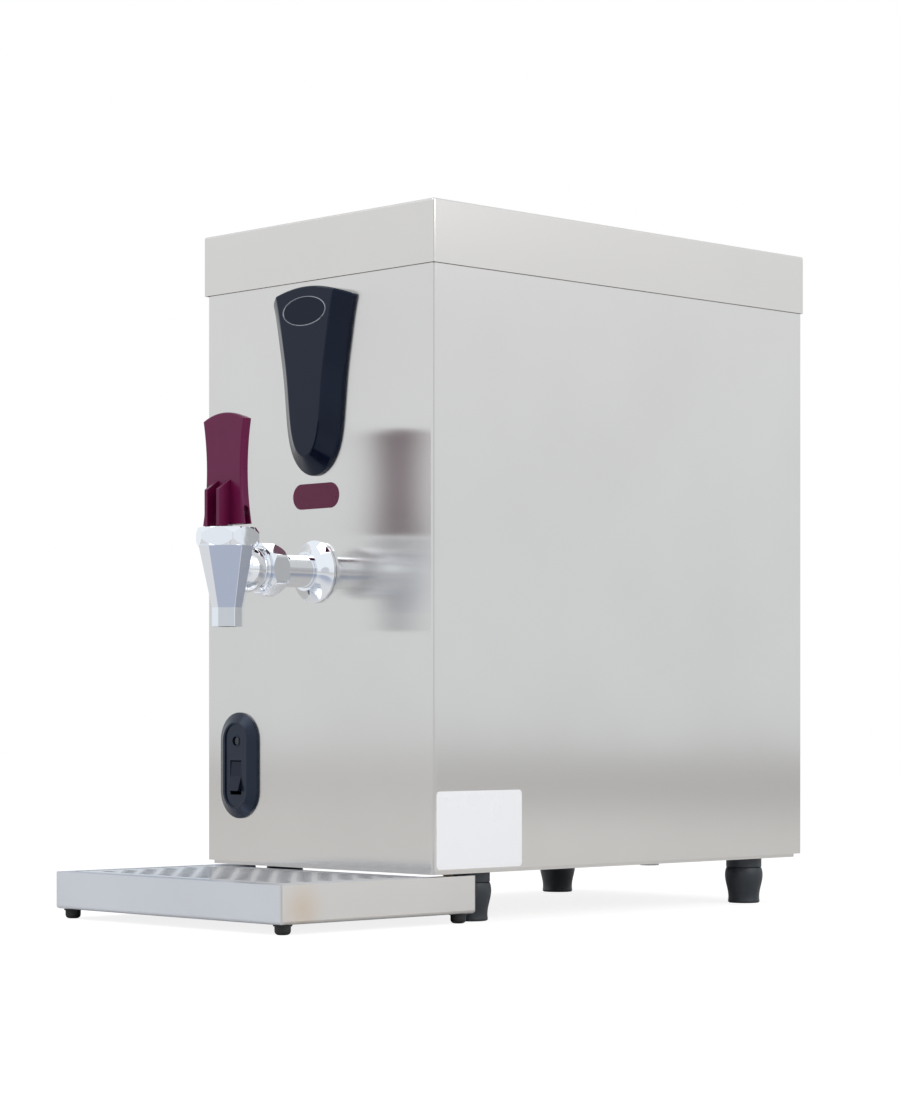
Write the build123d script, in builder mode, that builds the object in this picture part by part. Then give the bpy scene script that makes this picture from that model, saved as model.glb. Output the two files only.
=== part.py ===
# Countertop water boiler with a lever tap, a rocker switch and a separate drip tray.
# Millimetres, +Z up, the front faces -Y. The origin is on the counter, under the middle of the
# box round the whole machine.
from build123d import *
import math
import os

os.makedirs("parts", exist_ok=True)

# Whole machine
body_width = 210.0
body_depth = 338.0
body_height = 398.0  # bottom edge of the case to the top of the lid
foot_height = 32.0  # counter to the bottom edge of the case
tray_reach = 119.5  # drip tray in front of the front panel
inlet_reach = 24.0  # water inlet behind the rear panel

# Sheet metal and fits
sheet = 1.0
fit_gap = 0.1  # between pieces that are pushed together
running_gap = 0.05  # round a shaft in its hole
seat_gap = 0.25  # between faces that part when something moves
cut_overrun = 2.0  # how far a cut runs past what it cuts
square_limit = 0.02  # cosine below which a face stands square to the front

# Case
case_corner_radius = 2.5
wrap_flange = 12.0
wrap_return = 12.0
lid_skirt = 37.8
lid_overhang = 1.6
lid_edge_radius = 1.4
base_sheet = 1.2
base_inset = 2.0
base_lip = 2.2
base_corner_radius = 4.0

# Vent slots in the rear panel and the base
vent_length = 40.0
vent_width = 4.0
vent_pitch = 9.0
rear_vent_rows = 6
rear_vent_height = 318.0  # above the bottom edge of the case
base_vent_rows = 4

# Casing screws
screw_shank = 4.0
screw_length = 7.0
screw_head = 7.6
screw_head_rise = 2.2
screw_edge_radius = 1.0
screw_slot = 1.2
screw_slot_depth = 1.0
screw_rows = (24.0, 180.0, 330.0)  # above the bottom edge of the case
lid_screw_spacing = 140.0
lid_screw_drop = 20.0  # below the top of the lid

# Feet
side_foot_inset = 19.0  # from the side of the case to the foot's middle
front_foot_inset = 49.0
rear_foot_inset = 35.6
collar_diameter = 23.4
collar_height = 7.3
collar_chamfer = 0.4
foot_stud = 10.0
foot_neck = 23.2
foot_belly = 25.0
foot_sole = 21.6
foot_belly_share = 0.8  # of the barrel's height
foot_waist = 21.8
foot_waist_share = 0.4
foot_edge_radius = 1.2

# Badge
badge_half_width = 37.6
badge_height = 115.9
badge_gap = 4.8  # top of the badge below the skirt of the lid
badge_lip = 2.3  # square edge against the case
badge_rise = 9.8
badge_flank_width = 11.4
badge_flank_radius = 2.0
badge_edge_radius = 1.2
badge_corner_radius = 3.0
badge_shares = (
    (0.30, 0.034),
    (0.52, 0.119),
    (0.62, 0.214),
    (0.685, 0.363),
    (0.745, 0.535),
    (0.84, 0.707),
)
badge_shoulder_share = 0.936
oval_width = 39.7
oval_height = 18.1
oval_drop = 15.2  # centre below the top of the badge
oval_depth = 0.9
oval_rise = 0.3
oval_field_sink = 0.5
oval_rim = 0.9

# Stuck-on plates
plate_thickness = 0.3
label_width = 42.2
label_height = 15.6
label_drop = 12.3  # centre below the tip of the badge
rating_width = 71.5
rating_height = 46.4
rating_corner = 2.5
rating_front_inset = 2.1
rating_bottom_inset = 0.9

# Switch
bezel_inset = 32.8  # from the left side of the case to the bezel's middle
bezel_width = 35.5
bezel_height = 67.0
bezel_level = 60.6
bezel_lip = 1.5  # square edge against the case
bezel_rise = 4.8
bezel_flank_width = 6.2
bezel_edge_radius = 1.0
bezel_dish_width = 19.6
bezel_dish_height = 52.8
bezel_dish_depth = 1.0
bezel_dish_round = 0.35
bezel_neck_width = 27.0
bezel_neck_height = 60.0
bezel_neck_depth = 7.0
rocker_opening_width = 10.8
rocker_opening_height = 21.6
rocker_level = 53.0
bezel_face = 1.4  # thickness in front of the switch housing
switch_wall = 1.3
switch_depth = 26.0
switch_floor = 16.0
switch_tab_width = 6.3
switch_tab_thickness = 0.8
switch_tab_length = 9.0
switch_tab_pitch = 7.0
switch_tab_count = 3
rocker_tilt = 10.0  # degrees each side of level
rocker_side_gap = 0.35
rocker_half_length = 9.5
rocker_pivot_depth = 5.0
rocker_dish = 1.2
rocker_back = 3.1
rocker_hub = 2.6
rocker_hub_half = 2.2
rocker_edge_radius = 0.7
trunnion_diameter = 2.4
trunnion_reach = 0.9
lens_diameter = 5.6
lens_level = 76.0
lens_recess = 0.7
lens_rim = 0.9
lens_rim_rise = 0.4
lamp_diameter = 9.0
lamp_length = 14.0

# Tap
tap_level = 180.6  # centre of the tap's pipe above the bottom edge of the case
tap_reach = 70.5  # spout axis in front of the front panel
pipe_diameter = 20.3
pipe_bore = 13.0
escutcheon_diameter = 38.4
escutcheon_rim = 2.0
escutcheon_collar = 24.0
escutcheon_height = 9.5
escutcheon_edge_radius = 0.7
escutcheon_waist_share = 0.55  # of the height
escutcheon_waist_rise = 0.45  # of the radius from collar to rim
nut_rear_reach = 33.2
nut_length = 13.2
nut_flats = 28.8
nut_chamfer_length = 3.2
nut_corner_radius = 3.0
nut_lip = 2.5
nut_bore = 24.2
union_collar_thickness = 2.8
union_washer_thickness = 1.5
union_spigot = 24.0
back_nut_flats = 30.0
back_nut_thickness = 6.0
back_nut_chamfer = 1.6
tap_washer_diameter = 34.0
tap_washer_thickness = 1.5
tail_ring_diameter = 27.4
tail_ring_thickness = 2.4
tail_ring_edge = 0.8
tail_groove_diameter = 25.0
tail_groove_width = 0.8
bulb_radius = 14.3
bulb_reach = 56.6  # centre of the bulb in front of the front panel
spout_bottom_level = 145.5
spout_taper_level = 156.8
spout_top_level = 193.5
spout_bottom_flats = 18.0  # across the broad faces
spout_bottom_corner = 5.6  # width of the narrow faces
spout_top_flats = 32.8
spout_top_corner = 9.1
spout_turn = 45.0  # degrees, the narrow faces look forward and to the sides
spout_edge_radius = 0.6
throat_diameter = 11.6
chamber_diameter = 18.0
seat_level = 172.0
tap_neck_diameter = 26.0
tap_neck_height = 7.4
bonnet_flats = 35.2
bonnet_height = 11.1
bonnet_chamfer_length = 4.0
bonnet_corner_radius = 1.5

# Tap valve and lever
stem_diameter = 6.0
stem_collar_diameter = 14.0
stem_collar_thickness = 1.6
stem_collar_level = 179.4
stem_foot_diameter = 9.0
stem_foot_thickness = 2.0
tongue_width = 6.0
tongue_top = 3.0  # above the pin's centre
cup_diameter = 15.6
cup_height = 6.4
cup_floor = 2.2
cup_edge_radius = 1.2
spring_wire = 1.2
spring_diameter = 11.4
spring_turns = 6.0
pin_level = 213.2
pin_diameter = 3.0
lever_front = 3.4  # in front of the spout axis
lever_rear = 3.3  # behind the spout axis
lever_base_level = 206.4
lever_top_level = 273.6
lever_base_half = 19.7
lever_waist_half = 16.1
lever_top_half = 19.2
lever_waist_share = 0.52  # of the lever's height
lever_shoulder_share = 0.935
lever_edge_radius = 1.0
lever_step = 0.7
lever_step_share = 0.45  # of the lever's thickness, at the parting line
lever_slot_height = 11.5
lever_notch_half = 14.5
lever_notch_height = 11.0
lever_notch_width = 4.6
lever_notch_front = 0.3  # middle of the notch in front of the spout axis
lever_notch_radius = 2.2
fin_reach = 8.9
fin_thickness = 2.6
fin_spacing = 11.0
fin_top_level = 233.0
fin_shoulder_drop = 5.8
cam_offset = 9.5  # cam centre in front of the pin
cam_lift_angle = 25.0  # degrees the lever tilts

# Drip tray
tray_overhang = 1.0  # past each side of the case
tray_foot_gap = 2.0  # rear of the tray to the front feet
tray_height = 22.6
tray_edge_radius = 2.0
tray_rim = 7.0
tray_rail = 1.0  # rail behind the grid, past the plane of the front panel
tray_rear_drop = 4.2  # rear wall below the top of the sides
tray_foot_height = 6.0
tray_foot_flange = 11.0
tray_foot_flange_thickness = 1.0
tray_foot_diameter = 9.4
tray_foot_round = 2.4
tray_foot_inset = 7.8
grid_sheet = 1.2
grid_gap = 0.5
grid_panel_gap = 2.0  # grid to the plane of the front panel
grid_edge_radius = 1.5
slot_length = 12.0
slot_width = 4.0
slot_pitch_x = 18.0
slot_pitch_y = 8.0
slot_columns = 10
slot_rows = 11

# Tank
tank_side_gap = 27.0  # side of the case to the tank
tank_front_gap = 44.0  # front panel to the tank
tank_rear_gap = 101.0  # tank to the rear panel
tank_base_gap = 40.0  # bottom edge of the case to the tank
tank_top_gap = 66.0  # tank to the top of the lid
tank_sheet = 1.2
tank_corner_radius = 8.0
tank_flange = 10.0
tank_flange_sheet = 1.5
tank_lid_sheet = 1.5
gasket_thickness = 2.0
bolt_diameter = 5.0
bolt_length = 12.0
bolt_head = 8.0  # across the flats
bolt_head_rise = 3.5
bolt_inset = 5.0
outlet_boss_diameter = 28.0
outlet_boss_length = 30.0
shank_socket_depth = 12.0
drain_pipe_diameter = 20.0
drain_bore = 12.0
drain_offset = 18.5  # in front of the middle of the tank
drain_drop = 5.0  # drain pipe below the bottom edge of the case
drain_plug_flats = 19.0
drain_plug_head = 6.0
drain_plug_length = 10.0
insulation_thickness = 10.0
insulation_clear = 16.0  # from the tank's flange and from its floor
insulation_hole_gap = 1.0
channel_length = 140.0
channel_width = 28.0
channel_sheet = 1.5
channel_spacing = 110.0

# Heating element
element_level = 78.0
element_boss_diameter = 74.0
element_boss_length = 13.0
element_thread = 56.0
element_flats = 62.0
element_head_thickness = 12.0
element_head_chamfer = 2.5
element_washer_thickness = 2.0
element_plug_length = 14.0
element_terminal_diameter = 6.0
element_terminal_length = 16.0
element_tube = 8.5
element_reach_share = 0.7772  # of the depth of the tank
element_loop_width = 26.0
element_loop_gap = 22.0

# Level probes and temperature sensor
probe_count = 3
probe_spacing = 26.0
probe_setback = 45.0  # behind the tank's front
probe_holder_diameter = 14.0
probe_holder_height = 14.0
probe_holder_flange = 20.0
probe_holder_flange_height = 4.0
probe_rod = 4.0
probe_tail = 8.0
probe_lengths = (60.0, 90.0, 170.0)
sensor_level = 140.0
sensor_offset = 40.0
sensor_diameter = 8.0
sensor_length = 60.0
sensor_hex = 14.0
sensor_hex_thickness = 6.0

# Overheat cut-out
cutout_inset = 67.0  # from the right side of the case
cutout_level = 118.0
cutout_width = 24.0
cutout_height = 30.0
cutout_depth = 26.0
cutout_bush = 10.0
cutout_bush_reach = 5.0
button_diameter = 6.0
button_rise = 2.4
button_travel = 1.6
button_length = 14.0
button_edge_radius = 0.8

# Water inlet
inlet_inset = 47.0  # from the left side of the case
inlet_level = 62.0
inlet_thread = 26.4
inlet_bore = 15.0
inlet_groove = 24.4
inlet_groove_width = 1.5
valve_diameter = 34.0
valve_length = 40.0
valve_flange = 38.0
valve_flange_thickness = 4.0
inlet_nut_flats = 32.0
inlet_nut_thickness = 5.0
outlet_tail_diameter = 12.0
outlet_tail_height = 34.0
outlet_tail_bore = 8.0
outlet_tail_setback = 28.0  # in front of the rear panel
coil_width = 26.0
coil_height = 30.0
coil_setback = 13.0
coil_neck = 12.0

# Fill hose
hose_diameter = 16.0
hose_clip_diameter = 19.0
hose_clip_width = 9.0
hose_clip_inset = 4.0
fill_level = 290.0
fill_tail_length = 30.0
hose_overlap = 15.0
hose_bend = 26.0

# Vent and overflow pipe
vent_pipe_diameter = 12.0
vent_pipe_bore = 10.0
vent_pipe_bend = 14.0
vent_tail_diameter = 13.0
vent_tail_length = 8.6
vent_pipe_top = 364.0
vent_pipe_drop = 10.4  # open end below the bottom edge of the case
vent_pipe_inset = 34.0  # in front of the rear panel
vent_pipe_setback = 30.0  # in front of the tank's rear

# Electrical parts
board_width = 74.0
board_height = 150.0
board_thickness = 1.6
board_level = 215.0
board_inset = 52.0  # centre in front of the rear panel
standoff_length = 10.0
standoff_diameter = 6.0
standoff_edge = 6.0
relay_width = 16.0
relay_depth = 28.0
relay_height = 26.0
relay_pitch = 34.0
chip_rise = 4.0
terminal_width = 44.0
terminal_depth = 20.0
terminal_height = 20.0
terminal_side_inset = 43.0  # from the right side of the case
terminal_inset = 34.0
terminal_hole = 4.0
terminal_hole_depth = 8.0
terminal_pitch = 13.0
gland_inset = 43.0  # from the right side of the case
gland_level = 58.0
gland_thread = 20.0
gland_flats = 24.0
gland_flange = 5.0
gland_dome = 10.0
gland_mouth = 16.0
gland_bore = 9.0
gland_tail = 8.0

# Places worked out from the sizes
front_y = (tray_reach - body_depth - inlet_reach) / 2
rear_y = front_y + body_depth
mid_y = (front_y + rear_y) / 2
case_bottom = foot_height
case_top = case_bottom + body_height
lid_underside = case_top - sheet
inner_width = body_width - 2 * sheet
side_x = body_width / 2
tap_y = front_y - tap_reach
tap_z = case_bottom + tap_level
base_plate_bottom = case_bottom - base_sheet
tank_front = front_y + tank_front_gap
tank_rear = rear_y - tank_rear_gap
tank_depth = tank_rear - tank_front
tank_width = body_width - 2 * tank_side_gap
tank_mid_y = (tank_front + tank_rear) / 2
tank_bottom = case_bottom + tank_base_gap
tank_top = case_top - tank_top_gap
tank_height = tank_top - tank_bottom


def upright(y):
    """The plane across the machine at depth y, whose outward side faces the front."""
    return Plane.XZ.offset(-y)


def about_y(x, z):
    """The axis that runs front to back through (x, z)."""
    return Axis((x, 0, z), (0, 1, 0))


def about_z(x, y):
    """The upright axis through (x, y)."""
    return Axis((x, y, 0), (0, 0, 1))


def side_plane(x):
    """The plane along the machine at x, with its local x towards the rear and its local y up."""
    return Plane.YZ.offset(x)


# Folded front and sides
foot_x = side_x - side_foot_inset
foot_rows = (front_y + front_foot_inset, rear_y - rear_foot_inset)
screw_x = inner_width / 2 - wrap_return / 2
rear_screw_spots = [
    (side * screw_x, case_bottom + row) for side in (-1, 1) for row in screw_rows
]
lid_screw_spots = [(side * lid_screw_spacing / 2, case_top - lid_screw_drop) for side in (-1, 1)]
bezel_x = bezel_inset - side_x
bezel_z = case_bottom + bezel_level

with BuildPart() as case_wrap:
    with BuildSketch(Plane.XY.offset(case_bottom)) as wrap_outline:
        with Locations((0, mid_y)):
            Rectangle(body_width, body_depth)
        fillet(wrap_outline.vertices().group_by(Axis.Y)[0], case_corner_radius)
        offset(amount=-sheet, kind=Kind.INTERSECTION, mode=Mode.SUBTRACT)
        with Locations((0, rear_y - sheet / 2)):
            Rectangle(inner_width, sheet, mode=Mode.SUBTRACT)
        with Locations(*[(side * screw_x, rear_y - sheet * 3 / 2) for side in (-1, 1)]):
            Rectangle(wrap_return, sheet)
    extrude(amount=lid_underside - case_bottom)
    with BuildSketch(Plane.XY.offset(case_bottom)):
        with Locations((0, mid_y - sheet / 2)):
            Rectangle(inner_width, body_depth - sheet * 3)
        with Locations((0, mid_y + wrap_flange / 2)):
            Rectangle(inner_width - 2 * wrap_flange, body_depth - wrap_flange, mode=Mode.SUBTRACT)
    extrude(amount=sheet)
    with BuildSketch(upright(front_y)):
        with Locations((0, tap_z)):
            Circle(pipe_diameter / 2 + fit_gap)
        with Locations((bezel_x, bezel_z)):
            SlotOverall(bezel_neck_height + 2 * fit_gap, bezel_neck_width + 2 * fit_gap, rotation=90)
    extrude(amount=-sheet * 2, mode=Mode.SUBTRACT)
    with BuildSketch(upright(rear_y)):
        with Locations(*rear_screw_spots):
            Circle(screw_shank / 2 + fit_gap)
    extrude(amount=sheet * 3, mode=Mode.SUBTRACT)
case_wrap.part.label = "case_wrap"
export_step(case_wrap.part, "parts/case_wrap.step")

# Rear panel
inlet_x = inlet_inset - side_x
inlet_z = case_bottom + inlet_level
cutout_x = side_x - cutout_inset
cutout_z = case_bottom + cutout_level
gland_x = side_x - gland_inset
gland_z = case_bottom + gland_level
terminal_x = side_x - terminal_side_inset

with BuildPart() as rear_panel:
    with BuildSketch(upright(rear_y)):
        with Locations((0, (case_bottom + lid_underside) / 2)):
            Rectangle(inner_width - 2 * fit_gap, lid_underside - case_bottom - 2 * fit_gap)
        with Locations(*rear_screw_spots, *lid_screw_spots):
            Circle(screw_shank / 2 + fit_gap, mode=Mode.SUBTRACT)
        with Locations((inlet_x, inlet_z)):
            Circle(inlet_thread / 2 + fit_gap, mode=Mode.SUBTRACT)
        with Locations((gland_x, gland_z)):
            Circle(gland_thread / 2 + fit_gap, mode=Mode.SUBTRACT)
        with Locations((cutout_x, cutout_z)):
            Circle(cutout_bush / 2 + fit_gap, mode=Mode.SUBTRACT)
        with Locations((0, case_bottom + rear_vent_height)):
            with GridLocations(vent_length * 1.5, vent_pitch, 2, rear_vent_rows):
                SlotOverall(vent_length, vent_width, mode=Mode.SUBTRACT)
    extrude(amount=sheet)
rear_panel.part.label = "rear_panel"
export_step(rear_panel.part, "parts/rear_panel.step")

# Top cover
with BuildPart() as lid:
    with BuildSketch(Plane.XY.offset(case_top - lid_skirt)):
        with Locations((0, mid_y)):
            Rectangle(body_width + 2 * lid_overhang, body_depth + 2 * lid_overhang)
    extrude(amount=lid_skirt)
    fillet(lid.edges().filter_by(Axis.Z) + lid.faces().sort_by(Axis.Z)[-1].edges(), lid_edge_radius)
    offset(amount=-sheet, openings=lid.faces().sort_by(Axis.Z)[0], kind=Kind.INTERSECTION)
    with BuildSketch(upright(rear_y)):
        with Locations(*lid_screw_spots):
            Circle(screw_shank / 2 + fit_gap)
    extrude(amount=-lid_overhang - cut_overrun, mode=Mode.SUBTRACT)
lid.part.label = "lid"
export_step(lid.part, "parts/lid.step")

# Casing screws, six in the rear panel and two in the skirt of the lid
with BuildPart() as casing_screws:
    for face_y, spots in ((rear_y, rear_screw_spots), (rear_y + lid_overhang, lid_screw_spots)):
        with BuildSketch(upright(face_y)):
            with Locations(*spots):
                Circle(screw_head / 2)
        extrude(amount=-screw_head_rise)
        fillet(
            casing_screws.faces().filter_by(Plane.XZ).group_by(Axis.Y)[-1].edges(),
            screw_edge_radius,
        )
        with BuildSketch(upright(face_y)):
            with Locations(*spots):
                Circle(screw_shank / 2)
        extrude(amount=screw_length)
        with BuildSketch(upright(face_y + screw_head_rise)):
            with Locations(*spots):
                Rectangle(screw_head * 0.6, screw_slot)
                Rectangle(screw_slot, screw_head * 0.6)
        extrude(amount=screw_slot_depth, mode=Mode.SUBTRACT)
casing_screws.part.label = "casing_screws"
export_step(casing_screws.part, "parts/casing_screws.step")

# Shallow pan under the case
drain_y = tank_mid_y - drain_offset
vent_pipe_y = rear_y - vent_pipe_inset

with BuildPart() as base_pan:
    with BuildSketch(Plane.XY.offset(case_bottom - base_lip)):
        with Locations((0, mid_y)):
            RectangleRounded(
                body_width - 2 * base_inset, body_depth - 2 * base_inset, base_corner_radius
            )
    extrude(amount=base_lip)
    offset(amount=-base_sheet, openings=base_pan.faces().sort_by(Axis.Z)[0], kind=Kind.INTERSECTION)
    with BuildSketch(Plane.XY.offset(case_bottom)):
        with Locations((0, drain_y)):
            Circle(drain_pipe_diameter / 2 + fit_gap)
        with Locations((0, vent_pipe_y)):
            Circle(vent_pipe_diameter / 2 + fit_gap)
        for side in (-1, 1):
            with Locations((side * foot_x / 2, rear_y - rear_foot_inset - vent_length)):
                with GridLocations(0, vent_pitch, 1, base_vent_rows):
                    SlotOverall(vent_length, vent_width)
    extrude(amount=-base_lip, mode=Mode.SUBTRACT)
base_pan.part.label = "base_pan"
export_step(base_pan.part, "parts/base_pan.step")

# Foot collars, fixed under the pan
collar_bottom = base_plate_bottom - collar_height
foot_spots = [(side * foot_x, row) for side in (-1, 1) for row in foot_rows]

with BuildPart() as foot_collars:
    with BuildSketch(Plane.XY.offset(collar_bottom)):
        with Locations(*foot_spots):
            Circle(collar_diameter / 2)
            Circle(foot_stud / 2 + running_gap, mode=Mode.SUBTRACT)
    extrude(amount=collar_height)
    chamfer(
        foot_collars.edges().filter_by(GeomType.CIRCLE).group_by(Axis.Z)[0]
        .filter_by(lambda edge: edge.radius > foot_stud),
        collar_chamfer,
    )
foot_collars.part.label = "foot_collars"
export_step(foot_collars.part, "parts/foot_collars.step")

# Barrel feet, each on its own threaded stud
foot_names = ("foot_front_left", "foot_rear_left", "foot_front_right", "foot_rear_right")
barrel_height = collar_bottom - seat_gap
stud_top = base_plate_bottom - seat_gap * 2

for foot_name, (stud_x, stud_y) in zip(foot_names, foot_spots):
    with BuildPart() as foot:
        with BuildSketch(Plane(origin=(stud_x, stud_y, 0), x_dir=(1, 0, 0), z_dir=(0, -1, 0))):
            with BuildLine():
                Line((0, 0), (foot_sole / 2, 0))
                Spline(
                    (foot_sole / 2, 0),
                    (foot_waist / 2, barrel_height * foot_waist_share),
                    (foot_belly / 2, barrel_height * foot_belly_share),
                    (foot_neck / 2, barrel_height),
                )
                Line((foot_neck / 2, barrel_height), (foot_stud / 2, barrel_height))
                Line((foot_stud / 2, barrel_height), (foot_stud / 2, stud_top))
                Line((foot_stud / 2, stud_top), (0, stud_top))
                Line((0, stud_top), (0, 0))
            make_face()
        revolve(axis=about_z(stud_x, stud_y))
        fillet(foot.edges().group_by(Axis.Z)[0], foot_edge_radius)
    foot.part.label = foot_name
    export_step(foot.part, f"parts/{foot_name}.step")

# Badge: a tongue with sloping flanks, pointed down
badge_top = case_top - lid_skirt - badge_gap
badge_bottom = badge_top - badge_height
badge_shoulder = badge_bottom + badge_height * badge_shoulder_share
badge_side = [
    (badge_half_width * across, badge_bottom + badge_height * up) for across, up in badge_shares
] + [(badge_half_width, badge_shoulder)]
badge_front = front_y - badge_rise
badge_slope = math.degrees(math.atan(badge_flank_width / (badge_rise - badge_lip)))
crest_z = badge_top + badge_flank_width * 2
crest_half = badge_half_width * (1 + (crest_z - badge_shoulder) / badge_height)
oval_z = badge_top - oval_drop

with BuildPart() as badge_flanks:
    with BuildSketch(upright(front_y)):
        with BuildLine():
            Spline(
                *[(-x, z) for x, z in reversed(badge_side)],
                (0, badge_bottom),
                *badge_side,
                tangents=((badge_half_width, -badge_height), (badge_half_width, badge_height)),
            )
            Polyline(
                (badge_half_width, badge_shoulder),
                (crest_half, crest_z),
                (-crest_half, crest_z),
                (-badge_half_width, badge_shoulder),
            )
        make_face()
    extrude(amount=badge_lip)
    extrude(
        badge_flanks.faces().sort_by(Axis.Y)[0], amount=badge_rise - badge_lip, taper=badge_slope
    )
    fillet(
        badge_flanks.faces().sort_by(Axis.Y)[0].edges().filter_by(
            lambda edge: edge.center().Z < badge_top + badge_flank_width / 2
        ),
        badge_flank_radius,
    )

with BuildPart() as badge:
    with BuildSketch(upright(front_y)) as badge_outline:
        with BuildLine():
            Spline(
                *[(-x, z) for x, z in reversed(badge_side)],
                (0, badge_bottom),
                *badge_side,
                tangents=((badge_half_width, -badge_height), (badge_half_width, badge_height)),
            )
            ThreePointArc(
                (badge_half_width, badge_shoulder),
                (0, badge_top),
                (-badge_half_width, badge_shoulder),
            )
        make_face()
        fillet(badge_outline.vertices().group_by(Axis.Y)[-1], badge_corner_radius)
    extrude(amount=badge_rise)
    add(badge_flanks.part, mode=Mode.INTERSECT)
    badge_walls = badge.faces().filter_by(lambda face: abs(face.normal_at().Y) < square_limit)
    fillet(
        badge_walls.edges().filter_by(
            lambda edge: edge.bounding_box().max.Y < front_y - badge_lip / 2
        ),
        badge_edge_radius,
    )
    with BuildSketch(upright(badge_front)):
        with Locations((0, oval_z)):
            Ellipse(oval_width / 2 + fit_gap, oval_height / 2 + fit_gap)
    extrude(amount=-oval_depth, mode=Mode.SUBTRACT)
badge.part.label = "badge"
export_step(badge.part, "parts/badge.step")

# Blank oval plate in the badge, with a raised rim
with BuildPart() as badge_plate:
    with BuildSketch(upright(badge_front + oval_depth)):
        with Locations((0, oval_z)):
            Ellipse(oval_width / 2, oval_height / 2)
    extrude(amount=oval_depth + oval_rise)
    with BuildSketch(upright(badge_front - oval_rise)):
        with Locations((0, oval_z)):
            Ellipse(oval_width / 2 - oval_rim, oval_height / 2 - oval_rim)
    extrude(amount=-(oval_rise + oval_field_sink), mode=Mode.SUBTRACT)
badge_plate.part.label = "badge_plate"
export_step(badge_plate.part, "parts/badge_plate.step")

# Stuck-on pill under the badge
with BuildPart() as front_label:
    with BuildSketch(upright(front_y)):
        with Locations((0, badge_bottom - label_drop)):
            SlotOverall(label_width, label_height)
    extrude(amount=plate_thickness)
front_label.part.label = "front_label"
export_step(front_label.part, "parts/front_label.step")

# White plate on the right side
with BuildPart() as rating_plate:
    with BuildSketch(side_plane(side_x)):
        with Locations(
            (
                front_y + rating_front_inset + rating_width / 2,
                case_bottom + rating_bottom_inset + rating_height / 2,
            )
        ):
            RectangleRounded(rating_width, rating_height, rating_corner)
    extrude(amount=plate_thickness)
rating_plate.part.label = "rating_plate"
export_step(rating_plate.part, "parts/rating_plate.step")

# Switch bezel
dish_y = front_y - bezel_rise + bezel_dish_depth
rocker_z = case_bottom + rocker_level
lens_z = case_bottom + lens_level
neck_y = front_y + bezel_neck_depth
switch_width = rocker_opening_width + 2 * switch_wall
switch_height = rocker_opening_height + 2 * switch_wall
switch_front = dish_y + bezel_face

with BuildPart() as switch_bezel:
    with BuildSketch(upright(front_y)):
        with Locations((bezel_x, bezel_z)):
            SlotOverall(bezel_height, bezel_width, rotation=90)
    extrude(amount=bezel_lip)
    extrude(
        switch_bezel.faces().sort_by(Axis.Y)[0],
        amount=bezel_rise - bezel_lip,
        taper=math.degrees(math.atan(bezel_flank_width / (bezel_rise - bezel_lip))),
    )
    fillet(switch_bezel.edges().group_by(Axis.Y)[0], bezel_edge_radius)
    fillet(
        switch_bezel.edges().filter_by(
            lambda edge: abs(edge.center().Y - (front_y - bezel_lip)) < fit_gap
            and edge.bounding_box().size.Y < fit_gap
        ),
        bezel_edge_radius,
    )
    with BuildSketch(upright(dish_y)):
        with Locations((bezel_x, bezel_z)):
            SlotOverall(bezel_dish_height, bezel_dish_width, rotation=90)
    extrude(amount=bezel_rise, mode=Mode.SUBTRACT)
    fillet(switch_bezel.edges().group_by(Axis.Y)[0], bezel_dish_round)
    with BuildSketch(upright(front_y)):
        with Locations((bezel_x, bezel_z)):
            SlotOverall(bezel_neck_height, bezel_neck_width, rotation=90)
    extrude(amount=-bezel_neck_depth)
    with BuildSketch(upright(dish_y)):
        with Locations((bezel_x, rocker_z)):
            Rectangle(rocker_opening_width, rocker_opening_height)
        with Locations((bezel_x, lens_z)):
            Circle(lens_diameter / 2 + fit_gap)
    extrude(amount=-(neck_y - dish_y), mode=Mode.SUBTRACT)
    with BuildSketch(upright(switch_front)):
        with Locations((bezel_x, rocker_z)):
            Rectangle(switch_width + 2 * fit_gap, switch_height + 2 * fit_gap)
    extrude(amount=-(neck_y - switch_front), mode=Mode.SUBTRACT)
    with BuildSketch(upright(dish_y)):
        with Locations((bezel_x, lens_z)):
            Circle(lens_diameter / 2 + lens_rim)
            Circle(lens_diameter / 2 + fit_gap, mode=Mode.SUBTRACT)
    extrude(amount=lens_rim_rise)
switch_bezel.part.label = "switch_bezel"
export_step(switch_bezel.part, "parts/switch_bezel.step")

# Switch housing behind the bezel, open at the front for the rocker
rocker_pivot_y = dish_y + rocker_pivot_depth

with BuildPart() as switch_body:
    with BuildSketch(upright(switch_front)):
        with Locations((bezel_x, rocker_z)):
            Rectangle(switch_width, switch_height)
    extrude(amount=-switch_depth)
    with BuildSketch(upright(switch_front)):
        with Locations((bezel_x, rocker_z)):
            Rectangle(rocker_opening_width, rocker_opening_height)
    extrude(amount=-switch_floor, mode=Mode.SUBTRACT)
    with BuildSketch(side_plane(bezel_x)):
        with Locations((rocker_pivot_y, rocker_z)):
            Circle(trunnion_diameter / 2 + running_gap)
    extrude(amount=rocker_opening_width / 2 + trunnion_reach + fit_gap, both=True, mode=Mode.SUBTRACT)
    with BuildSketch(upright(switch_front + switch_depth)):
        with Locations((bezel_x, rocker_z)):
            with GridLocations(0, switch_tab_pitch, 1, switch_tab_count):
                Rectangle(switch_tab_width, switch_tab_thickness)
    extrude(amount=-switch_tab_length)
switch_body.part.label = "switch_body"
export_step(switch_body.part, "parts/switch_body.step")

# Rocker, resting with its lower end out
rocker_width = rocker_opening_width - 2 * rocker_side_gap
tilt = math.radians(rocker_tilt)
rocker_plane = Plane(
    origin=(bezel_x, rocker_pivot_y, rocker_z),
    x_dir=(0, math.cos(tilt), -math.sin(tilt)),
    z_dir=(1, 0, 0),
)

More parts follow.
